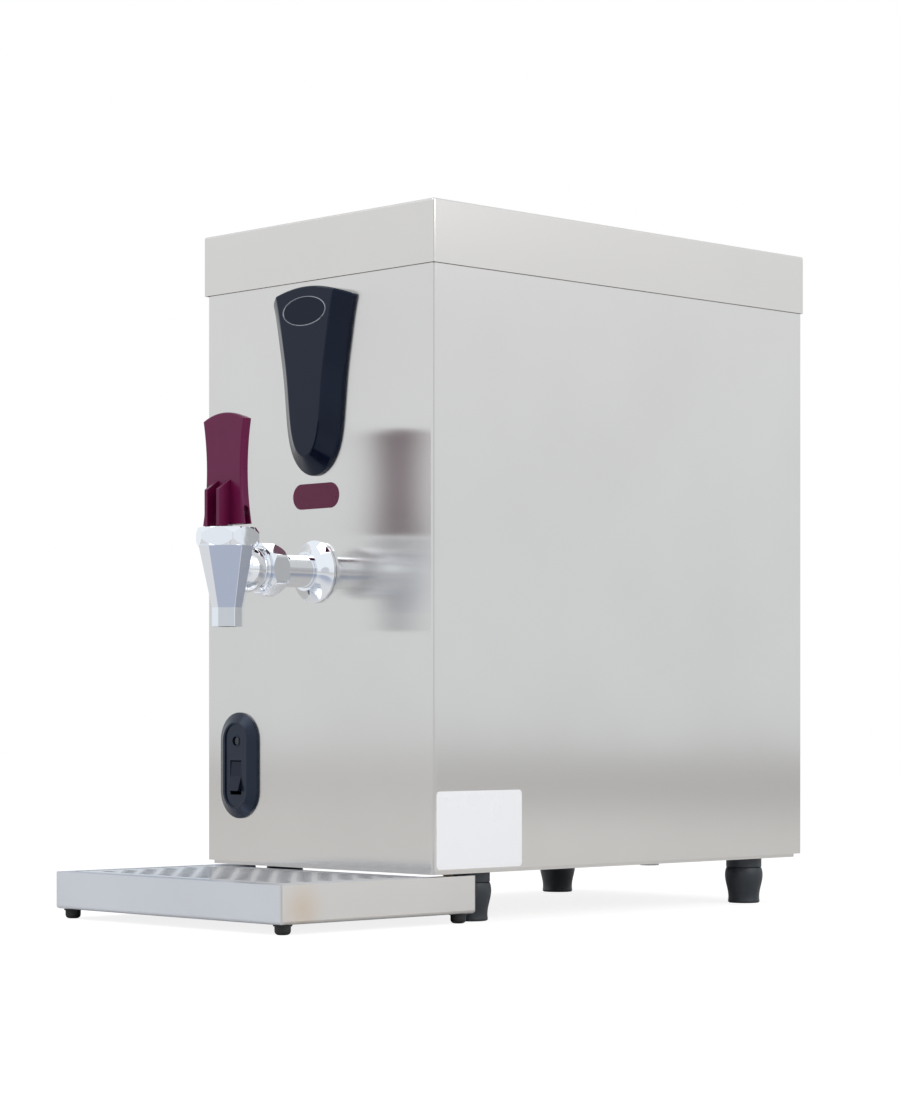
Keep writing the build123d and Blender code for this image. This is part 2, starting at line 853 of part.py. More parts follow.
with BuildPart() as rocker:
    with BuildSketch(rocker_plane):
        with BuildLine():
            Polyline(
                (-rocker_pivot_depth - rocker_dish, rocker_half_length),
                (-rocker_pivot_depth, 0),
                (-rocker_pivot_depth - rocker_dish, -rocker_half_length),
                (-rocker_back, -rocker_half_length),
                (0, -rocker_hub),
                (rocker_hub_half, 0),
                (0, rocker_hub),
                (-rocker_back, rocker_half_length),
                close=True,
            )
        make_face()
    extrude(amount=rocker_width / 2, both=True)
    fillet(rocker.edges().filter_by(Axis.X).group_by(Axis.Z)[0], rocker_edge_radius)
    fillet(rocker.edges().filter_by(Axis.X).group_by(Axis.Z)[-1], rocker_edge_radius)
    with BuildSketch(rocker_plane):
        Circle(trunnion_diameter / 2)
    extrude(amount=rocker_opening_width / 2 + trunnion_reach, both=True)
rocker.part.label = "rocker"
export_step(rocker.part, "parts/rocker.step")

# Indicator lens
lens_front = dish_y + lens_recess
with BuildPart() as indicator_lens:
    with BuildSketch(upright(neck_y)):
        with Locations((bezel_x, lens_z)):
            Circle(lens_diameter / 2)
    extrude(amount=neck_y - lens_front)
    fillet(indicator_lens.edges().group_by(Axis.Y)[0], lens_recess)
indicator_lens.part.label = "indicator_lens"
export_step(indicator_lens.part, "parts/indicator_lens.step")

# Lamp behind the lens
with BuildPart() as indicator_lamp:
    with BuildSketch(upright(neck_y)):
        with Locations((bezel_x, lens_z)):
            Circle(lamp_diameter / 2)
    extrude(amount=-lamp_length)
    with BuildSketch(upright(neck_y + lamp_length)):
        with Locations((bezel_x, lens_z)):
            with GridLocations(lamp_diameter / 2, 0, 2, 1):
                Circle(switch_tab_thickness)
    extrude(amount=-switch_tab_length)
    fillet(indicator_lamp.faces().sort_by(Axis.Y)[-1].edges(), switch_tab_thickness / 4)
indicator_lamp.part.label = "indicator_lamp"
export_step(indicator_lamp.part, "parts/indicator_lamp.step")

# Trumpet-shaped flange against the panel
pipe_hole = pipe_diameter / 2 + fit_gap
with BuildPart() as tap_escutcheon:
    with BuildSketch(side_plane(0)):
        with BuildLine():
            rim_r = escutcheon_diameter / 2
            collar_r = escutcheon_collar / 2
            waist_y = front_y - escutcheon_height * escutcheon_waist_share
            waist_r = collar_r + (rim_r - collar_r) * escutcheon_waist_rise
            Polyline(
                (front_y - escutcheon_height, tap_z + collar_r),
                (front_y - escutcheon_height, tap_z + pipe_hole),
                (front_y, tap_z + pipe_hole),
                (front_y, tap_z + rim_r),
                (front_y - escutcheon_rim, tap_z + rim_r),
            )
            ThreePointArc(
                (front_y - escutcheon_rim, tap_z + rim_r),
                (waist_y, tap_z + waist_r),
                (front_y - escutcheon_height, tap_z + collar_r),
            )
        make_face()
    revolve(axis=about_y(0, tap_z))
    fillet(
        tap_escutcheon.edges().filter_by(GeomType.CIRCLE).group_by(Axis.Y)[-1]
        .sort_by(SortBy.RADIUS)[-1],
        escutcheon_edge_radius,
    )
tap_escutcheon.part.label = "tap_escutcheon"
export_step(tap_escutcheon.part, "parts/tap_escutcheon.step")

# Pipe from the tank's boss through the panel to the union
nut_rear = front_y - nut_rear_reach
nut_front = nut_rear - nut_length
collar_rear = nut_rear - nut_lip
collar_front = collar_rear - union_collar_thickness
spigot_rear = collar_front - union_washer_thickness
socket_floor = tank_front - outlet_boss_length + shank_socket_depth
pipe_r = pipe_diameter / 2
union_r = nut_bore / 2 - fit_gap

with BuildPart() as tap_shank:
    with BuildSketch(side_plane(0)):
        with BuildLine():
            Polyline(
                (collar_front, tap_z + pipe_bore / 2),
                (socket_floor, tap_z + pipe_bore / 2),
                (socket_floor, tap_z + pipe_r),
                (collar_rear, tap_z + pipe_r),
                (collar_rear, tap_z + union_r),
                (collar_front, tap_z + union_r),
                close=True,
            )
        make_face()
    revolve(axis=about_y(0, tap_z))
tap_shank.part.label = "tap_shank"
export_step(tap_shank.part, "parts/tap_shank.step")


def hexagon_limits(low, high, flats, length, corner_r):
    """Half profile that cuts a hexagon's corners to cones at both ends."""
    return [
        (low, 0),
        (low, flats / 2),
        (low + length, corner_r),
        (high - length, corner_r),
        (high, flats / 2),
        (high, 0),
    ]


# Union nut
with BuildPart() as tap_union_nut:
    with BuildSketch(upright(nut_rear)) as nut_section:
        with Locations((0, tap_z)):
            RegularPolygon(nut_flats / 2, 6, major_radius=False, rotation=90)
        fillet(nut_section.vertices(), nut_corner_radius)
        with Locations((0, tap_z)):
            Circle(pipe_r + fit_gap, mode=Mode.SUBTRACT)
    extrude(amount=nut_length)
    with BuildSketch(side_plane(0)):
        with BuildLine():
            Polyline(
                *[
                    (y, tap_z + r)
                    for y, r in hexagon_limits(
                        nut_front, nut_rear, nut_flats, nut_chamfer_length, nut_flats / math.sqrt(3)
                    )
                ],
                close=True,
            )
        make_face()
    revolve(axis=about_y(0, tap_z), mode=Mode.INTERSECT)
    with BuildSketch(upright(collar_rear)):
        with Locations((0, tap_z)):
            Circle(nut_bore / 2)
    extrude(amount=nut_length, mode=Mode.SUBTRACT)
tap_union_nut.part.label = "tap_union_nut"
export_step(tap_union_nut.part, "parts/tap_union_nut.step")

# Washer in the union
with BuildPart() as union_washer:
    with BuildSketch(upright(collar_front)):
        with Locations((0, tap_z)):
            Circle(union_r)
            Circle(pipe_bore / 2, mode=Mode.SUBTRACT)
    extrude(amount=union_washer_thickness)
union_washer.part.label = "union_washer"
export_step(union_washer.part, "parts/union_washer.step")

# Washer and nut that clamp the pipe behind the panel
panel_back = front_y + sheet
with BuildPart() as tap_washer:
    with BuildSketch(upright(panel_back)):
        with Locations((0, tap_z)):
            Circle(tap_washer_diameter / 2)
            Circle(pipe_r + fit_gap, mode=Mode.SUBTRACT)
    extrude(amount=-tap_washer_thickness)
tap_washer.part.label = "tap_washer"
export_step(tap_washer.part, "parts/tap_washer.step")

back_nut_front = panel_back + tap_washer_thickness
back_nut_rear = back_nut_front + back_nut_thickness
with BuildPart() as tap_back_nut:
    with BuildSketch(upright(back_nut_front)):
        with Locations((0, tap_z)):
            RegularPolygon(back_nut_flats / 2, 6, major_radius=False)
            Circle(pipe_r + fit_gap, mode=Mode.SUBTRACT)
    extrude(amount=-back_nut_thickness)
    with BuildSketch(side_plane(0)):
        with BuildLine():
            Polyline(
                *[
                    (y, tap_z + r)
                    for y, r in hexagon_limits(
                        back_nut_front,
                        back_nut_rear,
                        back_nut_flats,
                        back_nut_chamfer,
                        back_nut_flats / math.sqrt(3),
                    )
                ],
                close=True,
            )
        make_face()
    revolve(axis=about_y(0, tap_z), mode=Mode.INTERSECT)
tap_back_nut.part.label = "tap_back_nut"
export_step(tap_back_nut.part, "parts/tap_back_nut.step")

# Tap body: tail ring, bulb and tapered spout with four broad and four narrow faces in one casting
spout_bottom = case_bottom + spout_bottom_level
spout_taper = case_bottom + spout_taper_level
spout_top = case_bottom + spout_top_level
seat_z = case_bottom + seat_level
neck_top = spout_top + tap_neck_height
bulb_y = front_y - bulb_reach
ring_front = nut_front - tail_ring_thickness
groove_front = ring_front - tail_groove_width
bulb_edge_y = bulb_y + math.sqrt(bulb_radius**2 - (tail_groove_diameter / 2) ** 2)
spout_sections = (
    (spout_taper, spout_bottom_flats, spout_bottom_corner),
    (spout_top, spout_top_flats, spout_top_corner),
)

with BuildPart() as tap_body:
    for level, flats, corner in spout_sections:
        with BuildSketch(Plane.XY.offset(level)) as spout_section:
            with Locations((0, tap_y)):
                Rectangle(flats, flats, rotation=spout_turn)
            chamfer(spout_section.vertices(), corner / math.sqrt(2))
            fillet(spout_section.vertices(), spout_edge_radius)
    loft(ruled=True)
    with BuildSketch(Plane.XY.offset(spout_bottom)) as mouth_section:
        with Locations((0, tap_y)):
            Rectangle(spout_bottom_flats, spout_bottom_flats, rotation=spout_turn)
        chamfer(mouth_section.vertices(), spout_bottom_corner / math.sqrt(2))
        fillet(mouth_section.vertices(), spout_edge_radius)
    extrude(amount=spout_taper - spout_bottom)
    with BuildSketch(side_plane(0)):
        with BuildLine():
            Polyline(
                (bulb_y - bulb_radius, tap_z),
                (spigot_rear, tap_z),
                (spigot_rear, tap_z + union_spigot / 2),
                (nut_front, tap_z + union_spigot / 2),
                (nut_front, tap_z + tail_ring_diameter / 2 - tail_ring_edge),
                (nut_front - tail_ring_edge, tap_z + tail_ring_diameter / 2),
                (ring_front + tail_ring_edge, tap_z + tail_ring_diameter / 2),
                (ring_front, tap_z + tail_ring_diameter / 2 - tail_ring_edge),
                (ring_front, tap_z + tail_groove_diameter / 2),
                (bulb_edge_y, tap_z + tail_groove_diameter / 2),
            )
            ThreePointArc(
                (bulb_edge_y, tap_z + tail_groove_diameter / 2),
                (bulb_y, tap_z + bulb_radius),
                (bulb_y - bulb_radius, tap_z),
            )
        make_face()
    revolve(axis=about_y(0, tap_z))
    with BuildSketch(Plane.XY.offset(spout_top)):
        with Locations((0, tap_y)):
            Circle(bonnet_flats * 0.6)
    extrude(amount=bonnet_height, mode=Mode.SUBTRACT)
    with BuildSketch(Plane.XY.offset(spout_top)):
        with Locations((0, tap_y)):
            Circle(tap_neck_diameter / 2)
    extrude(amount=tap_neck_height)
    with BuildSketch(Plane.XY.offset(seat_z)):
        with Locations((0, tap_y)):
            Circle(chamber_diameter / 2)
    extrude(amount=neck_top - seat_z, mode=Mode.SUBTRACT)
    with BuildSketch(Plane.XY.offset(spout_bottom)):
        with Locations((0, tap_y)):
            Circle(throat_diameter / 2)
    extrude(amount=seat_z - spout_bottom, mode=Mode.SUBTRACT)
    with BuildSketch(upright(spigot_rear)):
        with Locations((0, tap_z)):
            Circle(pipe_bore / 2)
    extrude(amount=spigot_rear - tap_y, mode=Mode.SUBTRACT)
tap_body.part.label = "tap_body"
export_step(tap_body.part, "parts/tap_body.step")

# Bonnet: six-sided cap screwed over the body's neck
bonnet_top = spout_top + bonnet_height
with BuildPart() as tap_bonnet:
    with BuildSketch(Plane.XY.offset(spout_top)) as bonnet_section:
        with Locations((0, tap_y)):
            RegularPolygon(bonnet_flats / 2, 6, major_radius=False, rotation=90)
        fillet(bonnet_section.vertices(), bonnet_corner_radius)
    extrude(amount=bonnet_height)
    with BuildSketch(upright(tap_y)):
        with BuildLine():
            Polyline(
                *[
                    (r, z)
                    for z, r in hexagon_limits(
                        spout_top,
                        bonnet_top,
                        bonnet_flats,
                        bonnet_chamfer_length,
                        bonnet_flats / math.sqrt(3),
                    )
                ],
                close=True,
            )
        make_face()
    revolve(axis=about_z(0, tap_y), mode=Mode.INTERSECT)
    with BuildSketch(Plane.XY.offset(spout_top)):
        with Locations((0, tap_y)):
            Circle(tap_neck_diameter / 2 + fit_gap)
    extrude(amount=tap_neck_height, mode=Mode.SUBTRACT)
    with BuildSketch(Plane.XY.offset(bonnet_top)):
        with Locations((0, tap_y)):
            Circle(stem_diameter / 2 + running_gap)
    extrude(amount=-bonnet_height, mode=Mode.SUBTRACT)
tap_bonnet.part.label = "tap_bonnet"
export_step(tap_bonnet.part, "parts/tap_bonnet.step")

# Rubber cup that closes the seat
cup_bottom = seat_z + seat_gap / 5
cup_top = cup_bottom + cup_height
stem_foot = cup_bottom + cup_floor
with BuildPart() as seat_cup:
    with BuildSketch(Plane.XY.offset(cup_bottom)):
        with Locations((0, tap_y)):
            Circle(cup_diameter / 2)
    extrude(amount=cup_height)
    fillet(seat_cup.edges().group_by(Axis.Z)[-1], cup_edge_radius)
    with BuildSketch(Plane.XY.offset(stem_foot)):
        with Locations((0, tap_y)):
            Circle(stem_foot_diameter / 2)
    extrude(amount=stem_foot_thickness, mode=Mode.SUBTRACT)
    with BuildSketch(Plane.XY.offset(stem_foot)):
        with Locations((0, tap_y)):
            Circle(stem_diameter / 2)
    extrude(amount=cup_height, mode=Mode.SUBTRACT)
seat_cup.part.label = "seat_cup"
export_step(seat_cup.part, "parts/seat_cup.step")

# Stem with its spring collar and the flat tongue that takes the pin
pin_z = case_bottom + pin_level
collar_z = case_bottom + stem_collar_level
with BuildPart() as tap_stem:
    with BuildSketch(upright(tap_y)):
        with BuildLine():
            Polyline(
                (0, stem_foot),
                (stem_foot_diameter / 2, stem_foot),
                (stem_foot_diameter / 2, stem_foot + stem_foot_thickness),
                (stem_diameter / 2, stem_foot + stem_foot_thickness),
                (stem_diameter / 2, collar_z),
                (stem_collar_diameter / 2, collar_z),
                (stem_collar_diameter / 2, collar_z + stem_collar_thickness),
                (stem_diameter / 2, collar_z + stem_collar_thickness),
                (stem_diameter / 2, pin_z + tongue_top),
                (0, pin_z + tongue_top),
                close=True,
            )
        make_face()
    revolve(axis=about_z(0, tap_y))
    with BuildSketch(side_plane(0)):
        with Locations((tap_y, pin_z)):
            Circle(pin_diameter / 2 + running_gap)
    extrude(amount=tongue_width, both=True, mode=Mode.SUBTRACT)
tap_stem.part.label = "tap_stem"
export_step(tap_stem.part, "parts/tap_stem.step")

# Closing spring between the stem's collar and the bonnet's roof
spring_bottom = collar_z + stem_collar_thickness + seat_gap + spring_wire / 2
spring_top = neck_top - seat_gap - spring_wire / 2
with BuildPart() as tap_spring:
    with BuildLine():
        Helix(
            pitch=(spring_top - spring_bottom) / spring_turns,
            height=spring_top - spring_bottom,
            radius=spring_diameter / 2,
            center=(0, tap_y, spring_bottom),
        )
    with BuildSketch(
        Plane(origin=(spring_diameter / 2, tap_y, spring_bottom), x_dir=(1, 0, 0), z_dir=(0, 1, 0))
    ):
        Circle(spring_wire / 2)
    sweep(is_frenet=True)
tap_spring.part.label = "tap_spring"
export_step(tap_spring.part, "parts/tap_spring.step")

# Pin through the lever and the stem
with BuildPart() as lever_pin:
    with BuildSketch(side_plane(0)):
        with Locations((tap_y, pin_z)):
            Circle(pin_diameter / 2)
    extrude(amount=lever_notch_half - running_gap, both=True)
lever_pin.part.label = "lever_pin"
export_step(lever_pin.part, "parts/lever_pin.step")

# Lever: waisted paddle with two cam fins, forked over the stem
lever_base = case_bottom + lever_base_level
lever_top = case_bottom + lever_top_level
lever_height = lever_top - lever_base
lever_shoulder = lever_base + lever_height * lever_shoulder_share
lever_waist = lever_base + lever_height * lever_waist_share
lever_front_y = tap_y - lever_front
lever_rear_y = tap_y + lever_rear
lever_part_y = lever_front_y + (lever_front + lever_rear) * lever_step_share
fin_top = case_bottom + fin_top_level
fin_front_y = lever_front_y - fin_reach
cam_y = tap_y - cam_offset
cam_radius = pin_z - bonnet_top - seat_gap
lever_slot_half = tongue_width / 2 + seat_gap
lift_angle = math.radians(cam_lift_angle)
slot_reach = stem_diameter / 2 + seat_gap
slot_foot_y = (
    tap_y - (slot_reach + (pin_z - lever_base) * math.sin(lift_angle)) / math.cos(lift_angle)
)


paddle_layers = (
    (lever_part_y, lever_part_y - lever_front_y, 0, 0),
    (lever_rear_y, lever_rear_y - lever_part_y, lever_step, -1),
)

with BuildPart() as tap_lever:
    for layer_rear, layer_depth, narrowing, outer_group in paddle_layers:
        top_half = lever_top_half - narrowing
        base_half = lever_base_half - narrowing
        with BuildSketch(upright(layer_rear)):
            with BuildLine():
                paddle_side = Spline(
                    (base_half, lever_base),
                    (lever_waist_half - narrowing, lever_waist),
                    (top_half, lever_shoulder),
                )
                mirror(paddle_side, about=Plane.YZ)
                ThreePointArc(
                    (top_half, lever_shoulder), (0, lever_top - narrowing), (-top_half, lever_shoulder)
                )
                Line((-base_half, lever_base), (base_half, lever_base))
            make_face()
        extrude(amount=layer_depth)
        fillet(
            tap_lever.edges()
            .group_by(Axis.Y)[outer_group]
            .filter_by(lambda edge: edge.center().Z > lever_base + lever_edge_radius),
            lever_edge_radius,
        )
    for side in (-1, 1):
        with BuildSketch(side_plane(side * fin_spacing / 2)):
            with BuildLine():
                Polyline(
                    (lever_front_y, fin_top),
                    (fin_front_y, fin_top - fin_shoulder_drop),
                    (fin_front_y, pin_z),
                    (tap_y, pin_z),
                    (tap_y, fin_top),
                    close=True,
                )
            make_face()
            with Locations((cam_y, pin_z)):
                Circle(cam_radius)
            with Locations(((fin_front_y + cam_y) / 2 - cam_radius, pin_z - cam_radius)):
                Rectangle(
                    cam_radius * 2 - (cam_y - fin_front_y), cam_radius * 4, mode=Mode.SUBTRACT
                )
        extrude(amount=fin_thickness / 2, both=True)
    for side in (-1, 1):
        with BuildSketch(side_plane(side * lever_notch_half)):
            with Locations((tap_y - lever_notch_front, lever_base)):
                RectangleRounded(lever_notch_width, 2 * lever_notch_height, lever_notch_radius)
        extrude(amount=side * lever_base_half, mode=Mode.SUBTRACT)
    with BuildSketch(side_plane(0)):
        with BuildLine():
            Polyline(
                (lever_rear_y, lever_base),
                (slot_foot_y, lever_base),
                (tap_y - slot_reach, pin_z + slot_reach * math.tan(lift_angle / 2)),
                (tap_y - slot_reach, lever_base + lever_slot_height),
                (lever_rear_y, lever_base + lever_slot_height),
                close=True,
            )
        make_face()
    extrude(amount=lever_slot_half, both=True, mode=Mode.SUBTRACT)
    with BuildSketch(side_plane(0)):
        with Locations((tap_y, pin_z)):
            Circle(pin_diameter / 2)
    extrude(amount=lever_notch_half + cut_overrun, both=True, mode=Mode.SUBTRACT)
tap_lever.part.label = "tap_lever"
export_step(tap_lever.part, "parts/tap_lever.step")

# Drip tray
tray_width = body_width + 2 * tray_overhang
tray_front = front_y - tray_reach
tray_depth = tray_reach + front_foot_inset - foot_belly / 2 - tray_foot_gap
tray_rear = tray_front + tray_depth
tray_mid_y = (tray_front + tray_rear) / 2
tray_top = tray_foot_height + tray_height
grid_front = tray_front + sheet + tray_rim
grid_rear = front_y - grid_panel_gap
grid_opening_width = tray_width - 2 * (sheet + tray_rim)
grid_mid_y = (grid_front + grid_rear) / 2

with BuildPart() as drip_tray:
    with BuildSketch(Plane.XY.offset(tray_foot_height)):
        with Locations((0, tray_mid_y)):
            Rectangle(tray_width, tray_depth)
    extrude(amount=tray_height)
    fillet(
        drip_tray.edges().filter_by(Axis.Z) + drip_tray.faces().sort_by(Axis.Z)[0].edges(),
        tray_edge_radius,
    )
    offset(amount=-sheet, openings=drip_tray.faces().sort_by(Axis.Z)[-1], kind=Kind.INTERSECTION)
    with BuildSketch(Plane.XY.offset(tray_top)):
        with Locations((0, tray_mid_y)):
            Rectangle(tray_width - sheet, tray_depth - sheet)
        with Locations((0, grid_mid_y)):
            Rectangle(grid_opening_width, grid_rear - grid_front, mode=Mode.SUBTRACT)
        with Locations((0, tray_mid_y)):
            RectangleRounded(
                tray_width - sheet / 2,
                tray_depth - sheet / 2,
                tray_edge_radius - sheet / 4,
                mode=Mode.INTERSECT,
            )
    extrude(amount=-sheet)
    with BuildSketch(Plane.XY.offset(tray_top)):
        with Locations((0, (front_y + tray_rail + tray_rear) / 2)):
            Rectangle(grid_opening_width, tray_rear - front_y - tray_rail)
    extrude(amount=-tray_rear_drop, mode=Mode.SUBTRACT)
drip_tray.part.label = "drip_tray"
export_step(drip_tray.part, "parts/drip_tray.step")

# Slotted grid, carried on its own folded edges
grid_width = grid_opening_width - 2 * grid_gap
grid_depth = grid_rear - grid_front - 2 * grid_gap
grid_bottom = tray_foot_height + sheet + seat_gap

with BuildPart() as tray_grid:
    with BuildSketch(Plane.XY.offset(grid_bottom)):
        with Locations((0, grid_mid_y)):
            Rectangle(grid_width, grid_depth)
    extrude(amount=tray_top - grid_bottom)
    fillet(
        tray_grid.edges().filter_by(Axis.Z) + tray_grid.faces().sort_by(Axis.Z)[-1].edges(),
        grid_edge_radius,
    )
    offset(
        amount=-grid_sheet, openings=tray_grid.faces().sort_by(Axis.Z)[0], kind=Kind.INTERSECTION
    )
    with BuildSketch(Plane.XY.offset(tray_top)):
        with Locations((0, grid_mid_y)):
            with GridLocations(slot_pitch_x, 2 * slot_pitch_y, slot_columns, (slot_rows + 1) // 2):
                SlotOverall(slot_length, slot_width)
            with GridLocations(slot_pitch_x, 2 * slot_pitch_y, slot_columns - 1, slot_rows // 2):
                SlotOverall(slot_length, slot_width)
    extrude(amount=-grid_sheet * 2, mode=Mode.SUBTRACT)
tray_grid.part.label = "tray_grid"
export_step(tray_grid.part, "parts/tray_grid.step")

# Rubber feet under the tray
tray_foot_x = tray_width / 2 - tray_foot_inset
tray_foot_spots = [
    (side * tray_foot_x, y)
    for side in (-1, 1)
    for y in (tray_front + tray_foot_inset, tray_rear - tray_foot_inset)
]
with BuildPart() as tray_feet:
    with BuildSketch(Plane.XY):
        with Locations(*tray_foot_spots):
            Circle(tray_foot_diameter / 2)
    extrude(amount=tray_foot_height)
    fillet(tray_feet.edges().group_by(Axis.Z)[0], tray_foot_round)
    with BuildSketch(Plane.XY.offset(tray_foot_height)):
        with Locations(*tray_foot_spots):
            Circle(tray_foot_flange / 2)
    extrude(amount=-tray_foot_flange_thickness)
tray_feet.part.label = "tray_feet"
export_step(tray_feet.part, "parts/tray_feet.step")

# Tank: a deep box with a top flange, an outlet boss, an element ring and a drain pipe
element_z = case_bottom + element_level
sensor_z = case_bottom + sensor_level
fill_z = case_bottom + fill_level
tank_outer_flange = (tank_width + 2 * tank_flange, tank_depth + 2 * tank_flange)

with BuildPart() as tank:
    with BuildSketch(Plane.XY.offset(tank_bottom)):
        with Locations((0, tank_mid_y)):
            RectangleRounded(tank_width, tank_depth, tank_corner_radius)
    extrude(amount=tank_height)
    offset(amount=-tank_sheet, openings=tank.faces().sort_by(Axis.Z)[-1], kind=Kind.INTERSECTION)
    with BuildSketch(Plane.XY.offset(tank_top)):
        with Locations((0, tank_mid_y)):
            RectangleRounded(*tank_outer_flange, tank_corner_radius)
            RectangleRounded(
                tank_width - 2 * tank_sheet,
                tank_depth - 2 * tank_sheet,
                tank_corner_radius - tank_sheet,
                mode=Mode.SUBTRACT,
            )
            with GridLocations(
                tank_outer_flange[0] - 2 * bolt_inset, tank_outer_flange[1] - 2 * bolt_inset, 2, 2
            ):
                Circle(bolt_diameter / 2 + fit_gap, mode=Mode.SUBTRACT)
            with GridLocations(tank_outer_flange[0] - 2 * bolt_inset, 0, 2, 1):
                Circle(bolt_diameter / 2 + fit_gap, mode=Mode.SUBTRACT)
            with GridLocations(0, tank_outer_flange[1] - 2 * bolt_inset, 1, 2):
                Circle(bolt_diameter / 2 + fit_gap, mode=Mode.SUBTRACT)
    extrude(amount=-tank_flange_sheet)
    with BuildSketch(upright(tank_front)):
        with Locations((0, tap_z)):
            Circle(outlet_boss_diameter / 2)
    extrude(amount=outlet_boss_length)
    with BuildSketch(upright(tank_front - outlet_boss_length)):
        with Locations((0, tap_z)):
            Circle(pipe_r + fit_gap)
    extrude(amount=-shank_socket_depth, mode=Mode.SUBTRACT)
    with BuildSketch(upright(socket_floor)):
        with Locations((0, tap_z)):
            Circle(pipe_bore / 2)
    extrude(amount=-(outlet_boss_length - shank_socket_depth + cut_overrun), mode=Mode.SUBTRACT)
    with BuildSketch(upright(tank_rear)):
        with Locations((0, element_z)):
            Circle(element_boss_diameter / 2)
        with Locations((-sensor_offset, sensor_z)):
            Circle(sensor_hex * 0.7)
    extrude(amount=-element_boss_length)
    with BuildSketch(upright(tank_rear + element_boss_length)):
        with Locations((0, element_z)):
            Circle(element_thread / 2 + fit_gap)
        with Locations((-sensor_offset, sensor_z)):
            Circle(sensor_diameter / 2 + fit_gap)
    extrude(amount=element_boss_length + cut_overrun, mode=Mode.SUBTRACT)
    with BuildSketch(upright(tank_rear)):
        with Locations((inlet_x, fill_z)):
            Circle(outlet_tail_diameter / 2)
    extrude(amount=-fill_tail_length)
    with BuildSketch(upright(tank_rear + fill_tail_length)):
        with Locations((inlet_x, fill_z)):
            Circle(outlet_tail_bore / 2)
    extrude(amount=fill_tail_length + cut_overrun, mode=Mode.SUBTRACT)
    with BuildSketch(Plane.XY.offset(tank_bottom)):
        with Locations((0, drain_y)):
            Circle(drain_pipe_diameter / 2)
    extrude(amount=-(tank_bottom - case_bottom + drain_drop))
    with BuildSketch(Plane.XY.offset(case_bottom - drain_drop)):
        with Locations((0, drain_y)):
            Circle(drain_bore / 2)
    extrude(amount=tank_base_gap + drain_drop + cut_overrun, mode=Mode.SUBTRACT)
tank.part.label = "tank"
export_step(tank.part, "parts/tank.step")


def flange_bolt_spots():
    """The eight bolt places round the tank's flange."""
    reach_x = tank_outer_flange[0] / 2 - bolt_inset
    reach_y = tank_outer_flange[1] / 2 - bolt_inset
    return [
        (across * reach_x, tank_mid_y + along * reach_y)
        for across in (-1, 0, 1)
        for along in (-1, 0, 1)
        if across or along
    ]


# Gasket and lid of the tank
gasket_top = tank_top + gasket_thickness
tank_lid_top = gasket_top + tank_lid_sheet
probe_spots = [
    ((number - (probe_count - 1) / 2) * probe_spacing, tank_front + probe_setback)
    for number in range(probe_count)
]
vent_start_y = tank_rear - vent_pipe_setback

with BuildPart() as tank_gasket:
    with BuildSketch(Plane.XY.offset(tank_top)):
        with Locations((0, tank_mid_y)):
            RectangleRounded(*tank_outer_flange, tank_corner_radius)
            RectangleRounded(
                tank_width - 2 * tank_sheet,
                tank_depth - 2 * tank_sheet,
                tank_corner_radius - tank_sheet,
                mode=Mode.SUBTRACT,
            )
        with Locations(*flange_bolt_spots()):
            Circle(bolt_diameter / 2 + fit_gap, mode=Mode.SUBTRACT)
    extrude(amount=gasket_thickness)
tank_gasket.part.label = "tank_gasket"
export_step(tank_gasket.part, "parts/tank_gasket.step")

with BuildPart() as tank_lid:
    with BuildSketch(Plane.XY.offset(gasket_top)):
        with Locations((0, tank_mid_y)):
            RectangleRounded(*tank_outer_flange, tank_corner_radius)
        with Locations(*flange_bolt_spots()):
            Circle(bolt_diameter / 2 + fit_gap, mode=Mode.SUBTRACT)
        with Locations(*probe_spots):
            Circle(probe_holder_diameter / 2 + fit_gap, mode=Mode.SUBTRACT)
        with Locations((0, vent_start_y)):
            Circle(vent_pipe_diameter / 2 + fit_gap, mode=Mode.SUBTRACT)
    extrude(amount=tank_lid_sheet)
tank_lid.part.label = "tank_lid"
export_step(tank_lid.part, "parts/tank_lid.step")

# Eight bolts with their nuts under the flange
flange_bottom = tank_top - tank_flange_sheet
with BuildPart() as tank_bolts:
    with BuildSketch(Plane.XY.offset(tank_lid_top)):
        with Locations(*flange_bolt_spots()):
            RegularPolygon(bolt_head / 2, 6, major_radius=False)
    extrude(amount=bolt_head_rise)
    with BuildSketch(Plane.XY.offset(tank_lid_top)):
        with Locations(*flange_bolt_spots()):
            Circle(bolt_diameter / 2)
    extrude(amount=-bolt_length)
    with BuildSketch(Plane.XY.offset(flange_bottom)):
        with Locations(*flange_bolt_spots()):
            RegularPolygon(bolt_head / 2, 6, major_radius=False)
    extrude(amount=-bolt_head_rise)
tank_bolts.part.label = "tank_bolts"
export_step(tank_bolts.part, "parts/tank_bolts.step")

# Insulation round the tank's walls
insulation_bottom = tank_bottom + insulation_clear
with BuildPart() as tank_insulation:
    with BuildSketch(Plane.XY.offset(insulation_bottom)):
        with Locations((0, tank_mid_y)):
            RectangleRounded(
                tank_width + 2 * insulation_thickness,
                tank_depth + 2 * insulation_thickness,
                tank_corner_radius + insulation_thickness,
            )
            RectangleRounded(tank_width, tank_depth, tank_corner_radius, mode=Mode.SUBTRACT)
    extrude(amount=tank_height - 2 * insulation_clear)
    with BuildSketch(upright(tank_front)):
        with Locations((0, tap_z)):
            Circle(outlet_boss_diameter / 2 + insulation_hole_gap)
    extrude(amount=insulation_thickness + cut_overrun, mode=Mode.SUBTRACT)
    with BuildSketch(upright(tank_rear)):
        with Locations((0, element_z)):
            Circle(element_boss_diameter / 2 + insulation_hole_gap)
        with Locations((-sensor_offset, sensor_z)):
            Circle(sensor_hex * 0.7 + insulation_hole_gap)
        with Locations((inlet_x, fill_z)):
            Circle(outlet_tail_diameter / 2 + insulation_hole_gap)
    extrude(amount=-insulation_thickness - cut_overrun, mode=Mode.SUBTRACT)
